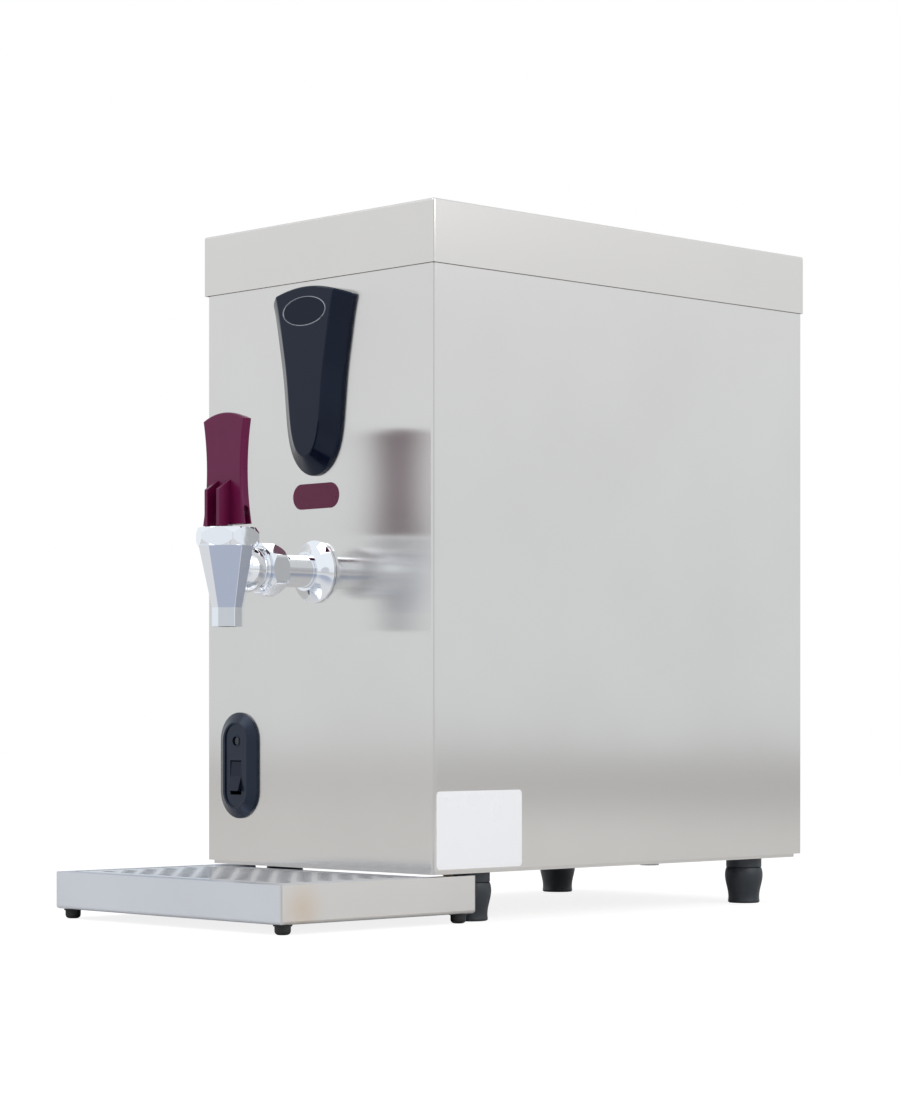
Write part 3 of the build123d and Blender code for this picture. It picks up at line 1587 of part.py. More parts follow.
tank_insulation.part.label = "tank_insulation"
export_step(tank_insulation.part, "parts/tank_insulation.step")

# Two channels that carry the tank on the pan
with BuildPart() as tank_channels:
    with BuildSketch(side_plane(0)):
        for side in (-1, 1):
            with Locations((tank_mid_y + side * channel_spacing / 2, case_bottom + tank_base_gap / 2)):
                Rectangle(channel_width, tank_base_gap)
                with Locations((channel_sheet, 0)):
                    Rectangle(channel_width, tank_base_gap - 2 * channel_sheet, mode=Mode.SUBTRACT)
    extrude(amount=channel_length / 2, both=True)
tank_channels.part.label = "tank_channels"
export_step(tank_channels.part, "parts/tank_channels.step")

# Drain plug in the drain pipe
drain_end = case_bottom - drain_drop
with BuildPart() as drain_plug:
    with BuildSketch(Plane.XY.offset(drain_end)):
        with Locations((0, drain_y)):
            RegularPolygon(drain_plug_flats / 2, 6, major_radius=False)
    extrude(amount=-drain_plug_head)
    chamfer(drain_plug.edges().group_by(Axis.Z)[0], drain_plug_head / 6)
    with BuildSketch(Plane.XY.offset(drain_end)):
        with Locations((0, drain_y)):
            Circle(drain_bore / 2 - fit_gap)
    extrude(amount=drain_plug_length)
drain_plug.part.label = "drain_plug"
export_step(drain_plug.part, "parts/drain_plug.step")

# Element: washer, head with its terminals, and two heating loops
boss_face = tank_rear + element_boss_length
head_face = boss_face + element_washer_thickness
head_back = head_face + element_head_thickness

with BuildPart() as element_washer:
    with BuildSketch(upright(boss_face)):
        with Locations((0, element_z)):
            Circle(element_boss_diameter / 2)
            Circle(element_thread / 2 + fit_gap, mode=Mode.SUBTRACT)
    extrude(amount=-element_washer_thickness)
element_washer.part.label = "element_washer"
export_step(element_washer.part, "parts/element_washer.step")

with BuildPart() as element_head:
    with BuildSketch(upright(head_face)):
        with Locations((0, element_z)):
            RegularPolygon(element_flats / 2, 6, major_radius=False)
    extrude(amount=-element_head_thickness)
    chamfer(element_head.edges().group_by(Axis.Y)[-1], element_head_chamfer)
    with BuildSketch(upright(head_face)):
        with Locations((0, element_z)):
            Circle(element_thread / 2)
    extrude(amount=element_plug_length)
    with BuildSketch(upright(head_back)):
        with Locations((0, element_z)):
            with GridLocations(element_loop_width, element_loop_gap, 2, 2):
                Circle(element_terminal_diameter / 2)
    extrude(amount=-element_terminal_length)
element_head.part.label = "element_head"
export_step(element_head.part, "parts/element_head.step")

element_start = head_face - element_plug_length
loop_levels = [element_z + side * element_loop_gap / 2 for side in (-1, 1)]
loop_turn_y = element_start - tank_depth * element_reach_share + element_loop_width / 2

with BuildPart() as element_loops:
    for level in loop_levels:
        with BuildLine(Plane.XY.offset(level)):
            Line((-element_loop_width / 2, element_start), (-element_loop_width / 2, loop_turn_y))
            ThreePointArc(
                (-element_loop_width / 2, loop_turn_y),
                (0, loop_turn_y - element_loop_width / 2),
                (element_loop_width / 2, loop_turn_y),
            )
            Line((element_loop_width / 2, loop_turn_y), (element_loop_width / 2, element_start))
        with BuildSketch(upright(element_start)):
            with Locations((-element_loop_width / 2, level)):
                Circle(element_tube / 2)
        sweep()
element_loops.part.label = "element_loops"
export_step(element_loops.part, "parts/element_loops.step")

# Level probes through the tank's lid
holder_flange_top = tank_lid_top + probe_holder_flange_height
with BuildPart() as probe_holders:
    with BuildSketch(Plane.XY.offset(tank_lid_top)):
        with Locations(*probe_spots):
            Circle(probe_holder_flange / 2)
    extrude(amount=probe_holder_flange_height)
    with BuildSketch(Plane.XY.offset(holder_flange_top)):
        with Locations(*probe_spots):
            Circle(probe_holder_diameter / 2)
    extrude(amount=-probe_holder_height)
    with BuildSketch(Plane.XY.offset(holder_flange_top)):
        with Locations(*probe_spots):
            Circle(probe_rod / 2 + running_gap)
    extrude(amount=-probe_holder_height, mode=Mode.SUBTRACT)
probe_holders.part.label = "probe_holders"
export_step(probe_holders.part, "parts/probe_holders.step")

with BuildPart() as probe_rods:
    for spot, length in zip(probe_spots, probe_lengths):
        with BuildSketch(Plane.XY.offset(holder_flange_top + probe_tail)):
            with Locations(spot):
                Circle(probe_rod / 2)
        extrude(amount=-(probe_tail + length))
probe_rods.part.label = "probe_rods"
export_step(probe_rods.part, "parts/probe_rods.step")

# Temperature sensor screwed into the tank's rear wall
sensor_face = tank_rear + element_boss_length
with BuildPart() as temperature_sensor:
    with BuildSketch(upright(sensor_face)):
        with Locations((-sensor_offset, sensor_z)):
            Circle(sensor_diameter / 2)
    extrude(amount=sensor_length)
    with BuildSketch(upright(sensor_face)):
        with Locations((-sensor_offset, sensor_z)):
            RegularPolygon(sensor_hex / 2, 6, major_radius=False)
    extrude(amount=-sensor_hex_thickness)
    with BuildSketch(upright(sensor_face + sensor_hex_thickness)):
        with Locations((-sensor_offset, sensor_z)):
            Circle(sensor_diameter / 2)
    extrude(amount=-sensor_hex_thickness)
temperature_sensor.part.label = "temperature_sensor"
export_step(temperature_sensor.part, "parts/temperature_sensor.step")

# Overheat cut-out on the inside of the rear panel, with its reset button outside
panel_inside = rear_y - sheet
with BuildPart() as cutout_body:
    with BuildSketch(upright(panel_inside)):
        with Locations((cutout_x, cutout_z)):
            RectangleRounded(cutout_width, cutout_height, cutout_bush / 4)
    extrude(amount=cutout_depth)
    with BuildSketch(upright(panel_inside)):
        with Locations((cutout_x, cutout_z)):
            Circle(cutout_bush / 2)
    extrude(amount=-(sheet + cutout_bush_reach))
    with BuildSketch(upright(rear_y + cutout_bush_reach)):
        with Locations((cutout_x, cutout_z)):
            Circle(button_diameter / 2 + running_gap)
    extrude(amount=button_length + button_travel + fit_gap, mode=Mode.SUBTRACT)
cutout_body.part.label = "cutout_body"
export_step(cutout_body.part, "parts/cutout_body.step")

with BuildPart() as reset_button:
    with BuildSketch(upright(rear_y + cutout_bush_reach + button_rise)):
        with Locations((cutout_x, cutout_z)):
            Circle(button_diameter / 2)
    extrude(amount=button_length + button_rise)
    fillet(reset_button.edges().group_by(Axis.Y)[-1], button_edge_radius)
reset_button.part.label = "reset_button"
export_step(reset_button.part, "parts/reset_button.step")

# Inlet valve: threaded inlet outside, body inside, outlet tail up
valve_back = panel_inside - valve_flange_thickness
tail_y = rear_y - outlet_tail_setback
tail_top = inlet_z + outlet_tail_height
with BuildPart() as inlet_valve:
    with BuildSketch(upright(panel_inside)):
        with Locations((inlet_x, inlet_z)):
            Circle(valve_flange / 2)
    extrude(amount=valve_flange_thickness)
    with BuildSketch(upright(valve_back)):
        with Locations((inlet_x, inlet_z)):
            Circle(valve_diameter / 2)
    extrude(amount=valve_length)
    fillet(inlet_valve.edges().group_by(Axis.Y)[0], valve_flange_thickness / 2)
    with BuildSketch(upright(panel_inside)):
        with Locations((inlet_x, inlet_z)):
            Circle(inlet_thread / 2)
    extrude(amount=-(sheet + inlet_reach))
    chamfer(inlet_valve.edges().group_by(Axis.Y)[-1], sheet)
    with BuildSketch(upright(rear_y + inlet_nut_thickness)):
        with Locations((inlet_x, inlet_z)):
            Circle(inlet_thread / 2 + cut_overrun)
            Circle(inlet_groove / 2, mode=Mode.SUBTRACT)
    extrude(amount=-inlet_groove_width, mode=Mode.SUBTRACT)
    with BuildSketch(Plane.XY.offset(inlet_z)):
        with Locations((inlet_x, tail_y)):
            Circle(outlet_tail_diameter / 2)
    extrude(amount=outlet_tail_height)
    with BuildSketch(upright(rear_y + inlet_reach)):
        with Locations((inlet_x, inlet_z)):
            Circle(inlet_bore / 2)
    extrude(amount=inlet_reach + outlet_tail_setback, mode=Mode.SUBTRACT)
    with BuildSketch(Plane.XY.offset(tail_top)):
        with Locations((inlet_x, tail_y)):
            Circle(outlet_tail_bore / 2)
    extrude(amount=-outlet_tail_height, mode=Mode.SUBTRACT)
inlet_valve.part.label = "inlet_valve"
export_step(inlet_valve.part, "parts/inlet_valve.step")

# Coil of the inlet valve, on its inner end
coil_front = valve_back - valve_length
with BuildPart() as valve_coil:
    with BuildSketch(upright(coil_front)):
        with Locations((inlet_x, inlet_z)):
            RectangleRounded(coil_width, coil_height, coil_neck / 4)
    extrude(amount=coil_setback)
    with BuildSketch(upright(coil_front - coil_setback)):
        with Locations((inlet_x, inlet_z)):
            with GridLocations(coil_neck, 0, 2, 1):
                Rectangle(switch_tab_thickness, switch_tab_width)
    extrude(amount=switch_tab_length)
valve_coil.part.label = "valve_coil"
export_step(valve_coil.part, "parts/valve_coil.step")

# Panel nut of the inlet
with BuildPart() as inlet_nut:
    with BuildSketch(upright(rear_y)):
        with Locations((inlet_x, inlet_z)):
            RegularPolygon(inlet_nut_flats / 2, 6, major_radius=False)
            Circle(inlet_thread / 2 + fit_gap, mode=Mode.SUBTRACT)
    extrude(amount=-inlet_nut_thickness)
inlet_nut.part.label = "inlet_nut"
export_step(inlet_nut.part, "parts/inlet_nut.step")

# Fill hose from the valve's tail to the tank
hose_start = tail_top - hose_overlap
hose_end = tank_rear + fill_tail_length - hose_overlap
with BuildPart() as fill_hose:
    with BuildLine(side_plane(inlet_x)):
        FilletPolyline(
            (tail_y, hose_start), (tail_y, fill_z), (hose_end, fill_z), radius=hose_bend
        )
    with BuildSketch(Plane.XY.offset(hose_start)):
        with Locations((inlet_x, tail_y)):
            Circle(hose_diameter / 2)
            Circle(outlet_tail_diameter / 2 + fit_gap, mode=Mode.SUBTRACT)
    sweep()
fill_hose.part.label = "fill_hose"
export_step(fill_hose.part, "parts/fill_hose.step")

# Two clips on the hose's ends
clip_low = hose_start + hose_clip_inset
clip_rear = hose_end + hose_clip_inset + hose_clip_width
with BuildPart() as hose_clips:
    with BuildSketch(Plane.XY.offset(clip_low)):
        with Locations((inlet_x, tail_y)):
            Circle(hose_clip_diameter / 2)
            Circle(hose_diameter / 2 + running_gap, mode=Mode.SUBTRACT)
    extrude(amount=hose_clip_width)
    with BuildSketch(upright(clip_rear)):
        with Locations((inlet_x, fill_z)):
            Circle(hose_clip_diameter / 2)
            Circle(hose_diameter / 2 + running_gap, mode=Mode.SUBTRACT)
    extrude(amount=hose_clip_width)
hose_clips.part.label = "hose_clips"
export_step(hose_clips.part, "parts/hose_clips.step")

# Vent and overflow pipe from the tank's lid down through the pan
pipe_top_z = case_bottom + vent_pipe_top
pipe_end_z = case_bottom - vent_pipe_drop
with BuildPart() as vent_pipe:
    with BuildLine(side_plane(0)):
        FilletPolyline(
            (vent_start_y, gasket_top),
            (vent_start_y, pipe_top_z),
            (vent_pipe_y, pipe_top_z),
            (vent_pipe_y, pipe_end_z),
            radius=vent_pipe_bend,
        )
    with BuildSketch(Plane.XY.offset(gasket_top)):
        with Locations((0, vent_start_y)):
            Circle(vent_pipe_diameter / 2)
            Circle(vent_pipe_bore / 2, mode=Mode.SUBTRACT)
    sweep()
    with BuildSketch(Plane.XY.offset(pipe_end_z)):
        with Locations((0, vent_pipe_y)):
            Circle(vent_tail_diameter / 2)
            Circle(vent_pipe_bore / 2, mode=Mode.SUBTRACT)
    extrude(amount=vent_tail_length)
vent_pipe.part.label = "vent_pipe"
export_step(vent_pipe.part, "parts/vent_pipe.step")

# Control board on four standoffs on the right side panel
board_x = inner_width / 2 - standoff_length
board_y = rear_y - board_inset
board_z = case_bottom + board_level
with BuildPart() as control_board:
    with BuildSketch(side_plane(board_x)):
        with Locations((board_y, board_z)):
            Rectangle(board_width, board_height)
    extrude(amount=-board_thickness)
    with BuildSketch(side_plane(board_x - board_thickness)):
        with Locations((board_y, board_z + board_height / 4)):
            with GridLocations(relay_pitch, 0, 2, 1):
                Rectangle(relay_depth, relay_height)
    extrude(amount=-relay_width)
    with BuildSketch(side_plane(board_x - board_thickness)):
        with Locations((board_y, board_z - board_height / 4)):
            with GridLocations(relay_pitch, relay_pitch, 2, 2):
                Rectangle(relay_width, relay_width)
    extrude(amount=-chip_rise)
control_board.part.label = "control_board"
export_step(control_board.part, "parts/control_board.step")

with BuildPart() as board_standoffs:
    with BuildSketch(side_plane(board_x)):
        with Locations((board_y, board_z)):
            with GridLocations(
                board_width - 2 * standoff_edge, board_height - 2 * standoff_edge, 2, 2
            ):
                Circle(standoff_diameter / 2)
    extrude(amount=standoff_length)
board_standoffs.part.label = "board_standoffs"
export_step(board_standoffs.part, "parts/board_standoffs.step")

# Terminal block on the pan
with BuildPart() as terminal_block:
    with BuildSketch(Plane.XY.offset(case_bottom)):
        with Locations((terminal_x, rear_y - terminal_inset)):
            Rectangle(terminal_width, terminal_depth)
    extrude(amount=terminal_height)
    with BuildSketch(Plane.XY.offset(case_bottom + terminal_height)):
        with Locations((terminal_x, rear_y - terminal_inset)):
            with GridLocations(terminal_pitch, terminal_depth / 2, 3, 2):
                Circle(terminal_hole / 2)
    extrude(amount=-terminal_hole_depth, mode=Mode.SUBTRACT)
terminal_block.part.label = "terminal_block"
export_step(terminal_block.part, "parts/terminal_block.step")

# Cable gland in the rear panel
with BuildPart() as cable_gland:
    with BuildSketch(upright(rear_y)):
        with Locations((gland_x, gland_z)):
            RegularPolygon(gland_flats / 2, 6, major_radius=False)
    extrude(amount=-gland_flange)
    with BuildSketch(upright(rear_y + gland_flange)):
        with Locations((gland_x, gland_z)):
            Circle(gland_thread / 2)
    with BuildSketch(upright(rear_y + gland_flange + gland_dome)):
        with Locations((gland_x, gland_z)):
            Circle(gland_mouth / 2)
    loft()
    with BuildSketch(upright(rear_y)):
        with Locations((gland_x, gland_z)):
            Circle(gland_thread / 2)
    extrude(amount=sheet + gland_tail)
    with BuildSketch(upright(panel_inside)):
        with Locations((gland_x, gland_z)):
            RegularPolygon(gland_flats / 2, 6, major_radius=False)
    extrude(amount=gland_tail / 2)
    with BuildSketch(upright(rear_y + gland_flange + gland_dome)):
        with Locations((gland_x, gland_z)):
            Circle(gland_bore / 2)
    extrude(amount=gland_flange + gland_dome + sheet + gland_tail, mode=Mode.SUBTRACT)
cable_gland.part.label = "cable_gland"
export_step(cable_gland.part, "parts/cable_gland.step")
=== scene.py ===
"""Finishes, small pieces and studio for the countertop water boiler."""

import math

import bmesh
import bpy
from bpy.props import FloatProperty, FloatVectorProperty, PointerProperty
from mathutils import Matrix, Vector


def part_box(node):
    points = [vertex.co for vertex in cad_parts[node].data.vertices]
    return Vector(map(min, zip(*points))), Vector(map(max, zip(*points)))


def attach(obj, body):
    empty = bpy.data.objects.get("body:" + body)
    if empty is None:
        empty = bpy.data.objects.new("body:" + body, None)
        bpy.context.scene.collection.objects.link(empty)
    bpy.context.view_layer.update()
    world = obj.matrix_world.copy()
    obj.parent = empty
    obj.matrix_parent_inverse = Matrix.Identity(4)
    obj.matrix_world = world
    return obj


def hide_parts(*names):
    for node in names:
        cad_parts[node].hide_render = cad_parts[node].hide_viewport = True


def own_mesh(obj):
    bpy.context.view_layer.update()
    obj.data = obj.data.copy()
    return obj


bl_info = {
    "name": "Countertop Water Boiler",
    "version": (1, 0, 0),
    "blender": (4, 5, 0),
    "location": "View3D > Sidebar > Boiler",
    "description": "Finishes, small pieces and studio for the countertop water boiler",
    "category": "Add Mesh",
}

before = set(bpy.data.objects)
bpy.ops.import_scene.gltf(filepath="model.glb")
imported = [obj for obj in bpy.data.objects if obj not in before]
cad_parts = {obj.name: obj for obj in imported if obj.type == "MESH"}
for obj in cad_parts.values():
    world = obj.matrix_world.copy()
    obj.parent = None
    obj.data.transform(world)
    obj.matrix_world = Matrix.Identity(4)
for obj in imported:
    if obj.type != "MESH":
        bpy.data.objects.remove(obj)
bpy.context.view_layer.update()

MM = 0.001

# The grain of rolled sheet: how wide and long its lines are, and how far it spreads reflections
GRAIN_WIDTH = 0.5 * MM
GRAIN_LENGTH = 60 * MM
GRAIN_SPREAD = 0.95

# Where most values of a noise pattern lie
NOISE_SPAN = (0.3, 0.7)

# Angles past which an edge is softened on a CAD node, or kept sharp on a new piece
SOFTENED_CREASE = math.radians(32)
SHARP_CREASE = math.radians(35)

# The colour of the slate plastics' shine
COOL_SHEEN = "#D2E0FF"

# The studio's places in metres and directions, and the distances or cosines at which tones fade
LAMP_AIM = (0, -0.05, 0.2)
KEY_PLACE, KEY_SIZE = (-0.5, -1.5, 1.9), 1.4
FILL_PLACE, FILL_SIZE = (1.9, 0.4, 1.3), 1.2
FLOOR_PATCH, PATCH_FADE = (0.42, -0.56, 0), (0.12, 0.42)
FLOOR_REAR, GLOW_RISE = (2.0, 2.0, 0), (4.2, 5.4)
FAR_CORNER, CORNER_FADE = (-0.68, 0.65, 0.34), (0.95, 0.985)
NEAR_SIDE, SIDE_FADE = (0.72, -0.69, 0.05), (0.965, 0.985)
HORIZON_FADE = (-0.05, 0.25)
CAMERA_PLACE = (1.40224, -1.35715, 0.12599)
CAMERA_TURN = math.radians(46.08)
CAMERA_SHIFT = 0.1478
SENSOR_HEIGHT = 36.0

# Linear levels of the floor: its paint, its far glow, and the white and shadow that the camera sees
FLOOR_PAINT = 0.86
FLOOR_GLOW = 0.12
SEEN_WHITE, SEEN_SHADOW = 0.84, 0.3


def linear(code):
    """Turn an sRGB hex code into linear red, green and blue."""
    channels = [int(code[place : place + 2], 16) / 255 for place in (1, 3, 5)]
    return tuple(c / 12.92 if c <= 0.04045 else ((c + 0.055) / 1.055) ** 2.4 for c in channels)


def rgba(value):
    """A colour as the four numbers a socket takes."""
    return (*value, 1.0)


def grey(level):
    """A neutral colour of a linear level, as a socket takes it."""
    return (level, level, level, 1.0)


def colour(code, label, hint):
    """A colour property whose default is a hex code."""
    return FloatVectorProperty(
        name=label, description=hint, subtype="COLOR", size=3, min=0, max=1, default=linear(code)
    )


def length(default, label, hint):
    """A length property in metres."""
    return FloatProperty(name=label, description=hint, default=default, min=0, unit="LENGTH")


def power(default, label, hint):
    """A lamp's power in watts."""
    return FloatProperty(name=label, description=hint, default=default, min=0, unit="POWER")


# Nodes and materials


def add_node(tree, kind, links=None, **settings):
    """Add a node, set its settings, and feed its sockets with values or other outputs."""
    node = tree.nodes.new(kind)
    for key, value in settings.items():
        setattr(node, key, value)
    for socket, value in (links or {}).items():
        if isinstance(value, bpy.types.NodeSocket):
            tree.links.new(value, node.inputs[socket])
        else:
            node.inputs[socket].default_value = value
    return node


def object_place(tree):
    """Object coordinates, in which every pattern is laid."""
    return add_node(tree, "ShaderNodeTexCoord").outputs["Object"]


def noise(tree, place, size, detail):
    """A noise pattern whose clouds are about size across."""
    return add_node(
        tree, "ShaderNodeTexNoise", {"Vector": place, "Scale": 1 / size, "Detail": detail}
    ).outputs[0]


def remap(tree, value, span, result, **settings):
    """Turn a span of values into another one, held at both ends."""
    sockets = {
        "Value": value,
        "From Min": span[0],
        "From Max": span[1],
        "To Min": result[0],
        "To Max": result[1],
    }
    return add_node(tree, "ShaderNodeMapRange", sockets, **settings).outputs[0]


def around(value, share):
    """The span that lies a share below and above a value."""
    return (value * (1 - share), value * (1 + share))


def measure(tree, operation, one, other):
    """The distance or the dot product of two vectors."""
    return add_node(
        tree, "ShaderNodeVectorMath", {0: one, 1: other}, operation=operation
    ).outputs["Value"]


def mix_colours(tree, share, one, other):
    """Go from one colour to the other by a share of 0 to 1."""
    return add_node(
        tree, "ShaderNodeMix", {"Factor": share, "A": one, "B": other}, data_type="RGBA"
    ).outputs["Result"]


def clouded(tree, pattern, base, deep):
    """A base colour clouded with a deeper one, or left plain where both are the same."""
    if tuple(base) == tuple(deep):
        return rgba(base)
    return mix_colours(tree, pattern, rgba(base), rgba(deep))


def relief(tree, height, strength, distance):
    """Slight bumps that follow a pattern."""
    return add_node(
        tree, "ShaderNodeBump", {"Height": height, "Strength": strength, "Distance": distance}
    ).outputs[0]


def new_material(name):
    """A fresh node material and its empty tree."""
    made = bpy.data.materials.new(name)
    made.use_nodes = True
    made.node_tree.nodes.clear()
    return made, made.node_tree


def finish_material(made, shader):
    """Feed the material's output."""
    add_node(made.node_tree, "ShaderNodeOutputMaterial", {"Surface": shader})
    return made


def rolled_stainless(name, steel, shade, roughness, along="Z", tint=None):
    """Cold-rolled 304 sheet: its grain blurs reflections, and handling clouds the shine."""
    made, tree = new_material(name)
    place = object_place(tree)
    fine, drawn = 1 / GRAIN_WIDTH, 1 / GRAIN_LENGTH
    stretch = (drawn, fine, fine) if along == "X" else (fine, fine, drawn)
    # Slightly off its axis, so that faces square to the grain still have a direction across it
    grain_way = (1.0, 0.03, 0.02) if along == "X" else (0.02, 0.03, 1.0)
    stretched = add_node(tree, "ShaderNodeMapping", {"Vector": place, "Scale": stretch})
    grain = noise(tree, stretched.outputs[0], size=1.0, detail=2.0)
    clouds = noise(tree, place, size=110 * MM, detail=3.0)
    tone = clouded(tree, clouds, steel, shade)
    # On the tray this adds a heat tint and painted shade on its right side
    if tint:
        tone = tint(tree, place, tone)
    facing = add_node(tree, "ShaderNodeNewGeometry").outputs["Normal"]
    across = add_node(
        tree, "ShaderNodeVectorMath", {0: facing, 1: grain_way}, operation="CROSS_PRODUCT"
    )
    shader = add_node(
        tree,
        "ShaderNodeBsdfPrincipled",
        {
            "Base Color": tone,
            "Metallic": 1.0,
            "Roughness": remap(tree, clouds, NOISE_SPAN, around(roughness, 0.06)),
            "Anisotropic": GRAIN_SPREAD,
            "Tangent": across.outputs[0],
            "Normal": relief(tree, grain, strength=0.03, distance=0.02 * MM),
        },
    )
    return finish_material(made, shader.outputs[0])


def chrome_plate(name, plate, roughness, wave_depth):
    """Bright chromium over cast brass: mirror sharp, with the slight waves of hand polishing."""
    made, tree = new_material(name)
    place = object_place(tree)
    waves = noise(tree, place, size=7 * MM, detail=1.0)
    wipe = noise(tree, place, size=3 * MM, detail=4.0)
    shader = add_node(
        tree,
        "ShaderNodeBsdfPrincipled",
        {
            "Base Color": rgba(plate),
            "Metallic": 1.0,
            "Roughness": remap(tree, wipe, (0.35, 0.7), (roughness, roughness * 2.2)),
            "Normal": relief(tree, waves, strength=wave_depth, distance=0.2 * MM),
        },
    )
    return finish_material(made, shader.outputs[0])


def moulded_plastic(
    name, base, deep, roughness, texture, depth, ior=1.5, gloss=0.5, sheen="#FFFFFF"
):
    """Injection-moulded thermoplastic: even colour, a slight mould texture and soft sheen."""
    made, tree = new_material(name)
    place = object_place(tree)
    flow = noise(tree, place, size=22 * MM, detail=2.0)
    grit = noise(tree, place, size=texture, detail=2.0)
    shader = add_node(
        tree,
        "ShaderNodeBsdfPrincipled",
        {
            "Base Color": clouded(tree, flow, base, deep),
            "Roughness": remap(tree, flow, NOISE_SPAN, around(roughness, 0.15)),
            "IOR": ior,
            "Specular IOR Level": gloss,
            "Specular Tint": rgba(linear(sheen)),
            "Normal": relief(tree, grit, strength=depth, distance=0.05 * MM),
        },
    )
    return finish_material(made, shader.outputs[0])


def plain_metal(name, base, shade, roughness):
    """Turned or stamped metal with fine tool lines and slight tarnish."""
    made, tree = new_material(name)
    place = object_place(tree)
    tarnish = noise(tree, place, size=9 * MM, detail=4.0)
    lines = noise(tree, place, size=0.6 * MM, detail=2.0)
    shader = add_node(
        tree,
        "ShaderNodeBsdfPrincipled",
        {
            "Base Color": clouded(tree, tarnish, base, shade),
            "Metallic": 1.0,
            "Roughness": roughness,
            "Normal": relief(tree, lines, strength=0.08, distance=0.05 * MM),
        },
    )
    return finish_material(made, shader.outputs[0])


def smoked_lens(name, base):
    """Smoked polycarbonate lens over an unlit lamp: glossy and dark."""
    made, tree = new_material(name)
    shader = add_node(
        tree,
        "ShaderNodeBsdfPrincipled",
        {
            "Base Color": rgba(base),
            "Roughness": 0.08,
            "IOR": 1.58,
            "Transmission Weight": 0.55,
        },
    )
    return finish_material(made, shader.outputs[0])


def heat_tint_and_painted_side_shade(tree, place, tone):
    """Painted shade: darker steel on the tray's right side, with a warm spot from welding behind
    its corner.
    """
    settings = bpy.context.scene.boiler_tray
    tray_low, tray_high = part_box("drip_tray")
    behind_front, above_low = 16 * MM, 9 * MM
    strongest = 0.6
    weld = (tray_high.x, tray_low.y + behind_front, tray_low.z + above_low)
    share = remap(
        tree,
        measure(tree, "DISTANCE", place, weld),
        span=(0.0, settings.tint_reach),
        result=(strongest, 0.0),
    )
    # Painted shade: the tray's outer right wall is mixed towards a darker steel colour
    across = add_node(tree, "ShaderNodeSeparateXYZ", {0: place}).outputs["X"]
    outer_wall = (tray_high.x - 2 * MM, tray_high.x - 0.5 * MM)
    painted_shade_mask = remap(tree, across, outer_wall, (0.0, 1.0))
    side_in_painted_shade = mix_colours(tree, painted_shade_mask, tone, rgba(settings.painted_side_shade))
    return mix_colours(tree, share, side_in_painted_shade, rgba(settings.tint))


# Dressing of the frame's own nodes, and new pieces


def even_normals(piece):
    """Let broad faces rule the shading, so that flats stay flat up to their rounded edges."""
    even = piece.modifiers.new("Flat faces", "WEIGHTED_NORMAL")
    even.mode = "FACE_AREA_WITH_ANGLE"
    even.weight = 80
    even.keep_sharp = False


def dress(names, made, edge=0.0):
    """Give frame nodes a finish and, where asked, softened sharp edges."""
    for name in names:
        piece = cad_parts[name]
        piece.data.materials.clear()
        piece.data.materials.append(made)
        if edge:
            piece.data.polygons.foreach_set("use_smooth", [True] * len(piece.data.polygons))
            joined = piece.modifiers.new("Join seams", "WELD")
            joined.merge_threshold = 0.005 * MM
            soft = piece.modifiers.new("Soften edges", "BEVEL")
            soft.width = edge
            soft.segments = 3
            soft.limit_method = "ANGLE"
            soft.angle_limit = SOFTENED_CREASE
            soft.use_clamp_overlap = True
            even_normals(piece)


def new_piece(name, mesh, finishes, body):
    """Finish a bmesh as an object that rides on a body."""
    bmesh.ops.recalc_face_normals(mesh, faces=mesh.faces)
    data = bpy.data.meshes.new(name)
    mesh.to_mesh(data)
    mesh.free()
    data.polygons.foreach_set("use_smooth", [True] * len(data.polygons))
    for made in finishes:
        data.materials.append(made)
    piece = bpy.data.objects.new(name, data)
    bpy.context.scene.collection.objects.link(piece)
    split = piece.modifiers.new("Crease", "EDGE_SPLIT")
    split.split_angle = SHARP_CREASE
    even_normals(piece)
    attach(piece, body)
    return piece


def turned(mesh, profile, centre, axis, steps=72):
    """Spin an outline of (distance along, radius) points about an axis into a closed solid."""
    axis = Vector(axis)
    side = axis.orthogonal().normalized()
    verts = [mesh.verts.new(Vector(centre) + axis * along + side * r) for along, r in profile]
    edges = [mesh.edges.new(pair) for pair in zip(verts, verts[1:] + verts[:1])]
    bmesh.ops.spin(
        mesh,
        geom=verts + edges,
        cent=centre,
        axis=axis,
        dvec=(0, 0, 0),
        angle=2 * math.pi,
        steps=steps,
        use_merge=True,
        use_duplicate=False,
    )
    bmesh.ops.remove_doubles(mesh, verts=mesh.verts, dist=0.002 * MM)


# Sizes and colours that a user would change


class CaseSettings(bpy.types.PropertyGroup):
    """Steel of the case"""

    steel: colour("#DDDBD8", "Steel", "Bright part of the case's steel")
    shade: colour("#D5D2CF", "Shade", "Dull part of the case's steel")
    lid_steel: colour("#DDD9D4", "Lid steel", "Bright part of the lid's steel")
    roughness: FloatProperty(
        name="Roughness",
        description="How soft the case's reflections are",
        default=0.16,
        min=0,
        max=1,
        subtype="FACTOR",
    )


class TraySettings(bpy.types.PropertyGroup):
    """Steel and feet of the drip tray"""

    steel: colour("#DDE0E7", "Steel", "Bright part of the tray's steel")
    shade: colour("#CED1D7", "Shade", "Dull part of the tray's steel")
    # Painted shade: a darker steel colour laid on the tray's right side
    painted_side_shade: colour("#CFCCC9", "Side steel", "Painted shade on the steel of the tray's right side")
    tint: colour("#C9B49A", "Heat tint", "Warm tint beside the welded corner")
    tint_reach: length(0.017, "Tint reach", "How far the heat tint spreads from the weld")
    rubber: colour("#17181A", "Rubber", "Colour of the tray's feet")


class TapSettings(bpy.types.PropertyGroup):
    """Chromium plate and lever of the tap"""

    plate: colour("#EDF0F5", "Plate", "Colour of the chromium plate")
    lever: colour("#6A0D3E", "Lever", "Colour of the lever")
    lever_deep: colour("#5C0B34", "Lever shade", "Deeper colour of the lever")
    lever_edge: length(0.6 * MM, "Lever edge", "Width of the rounding on the lever's edges")


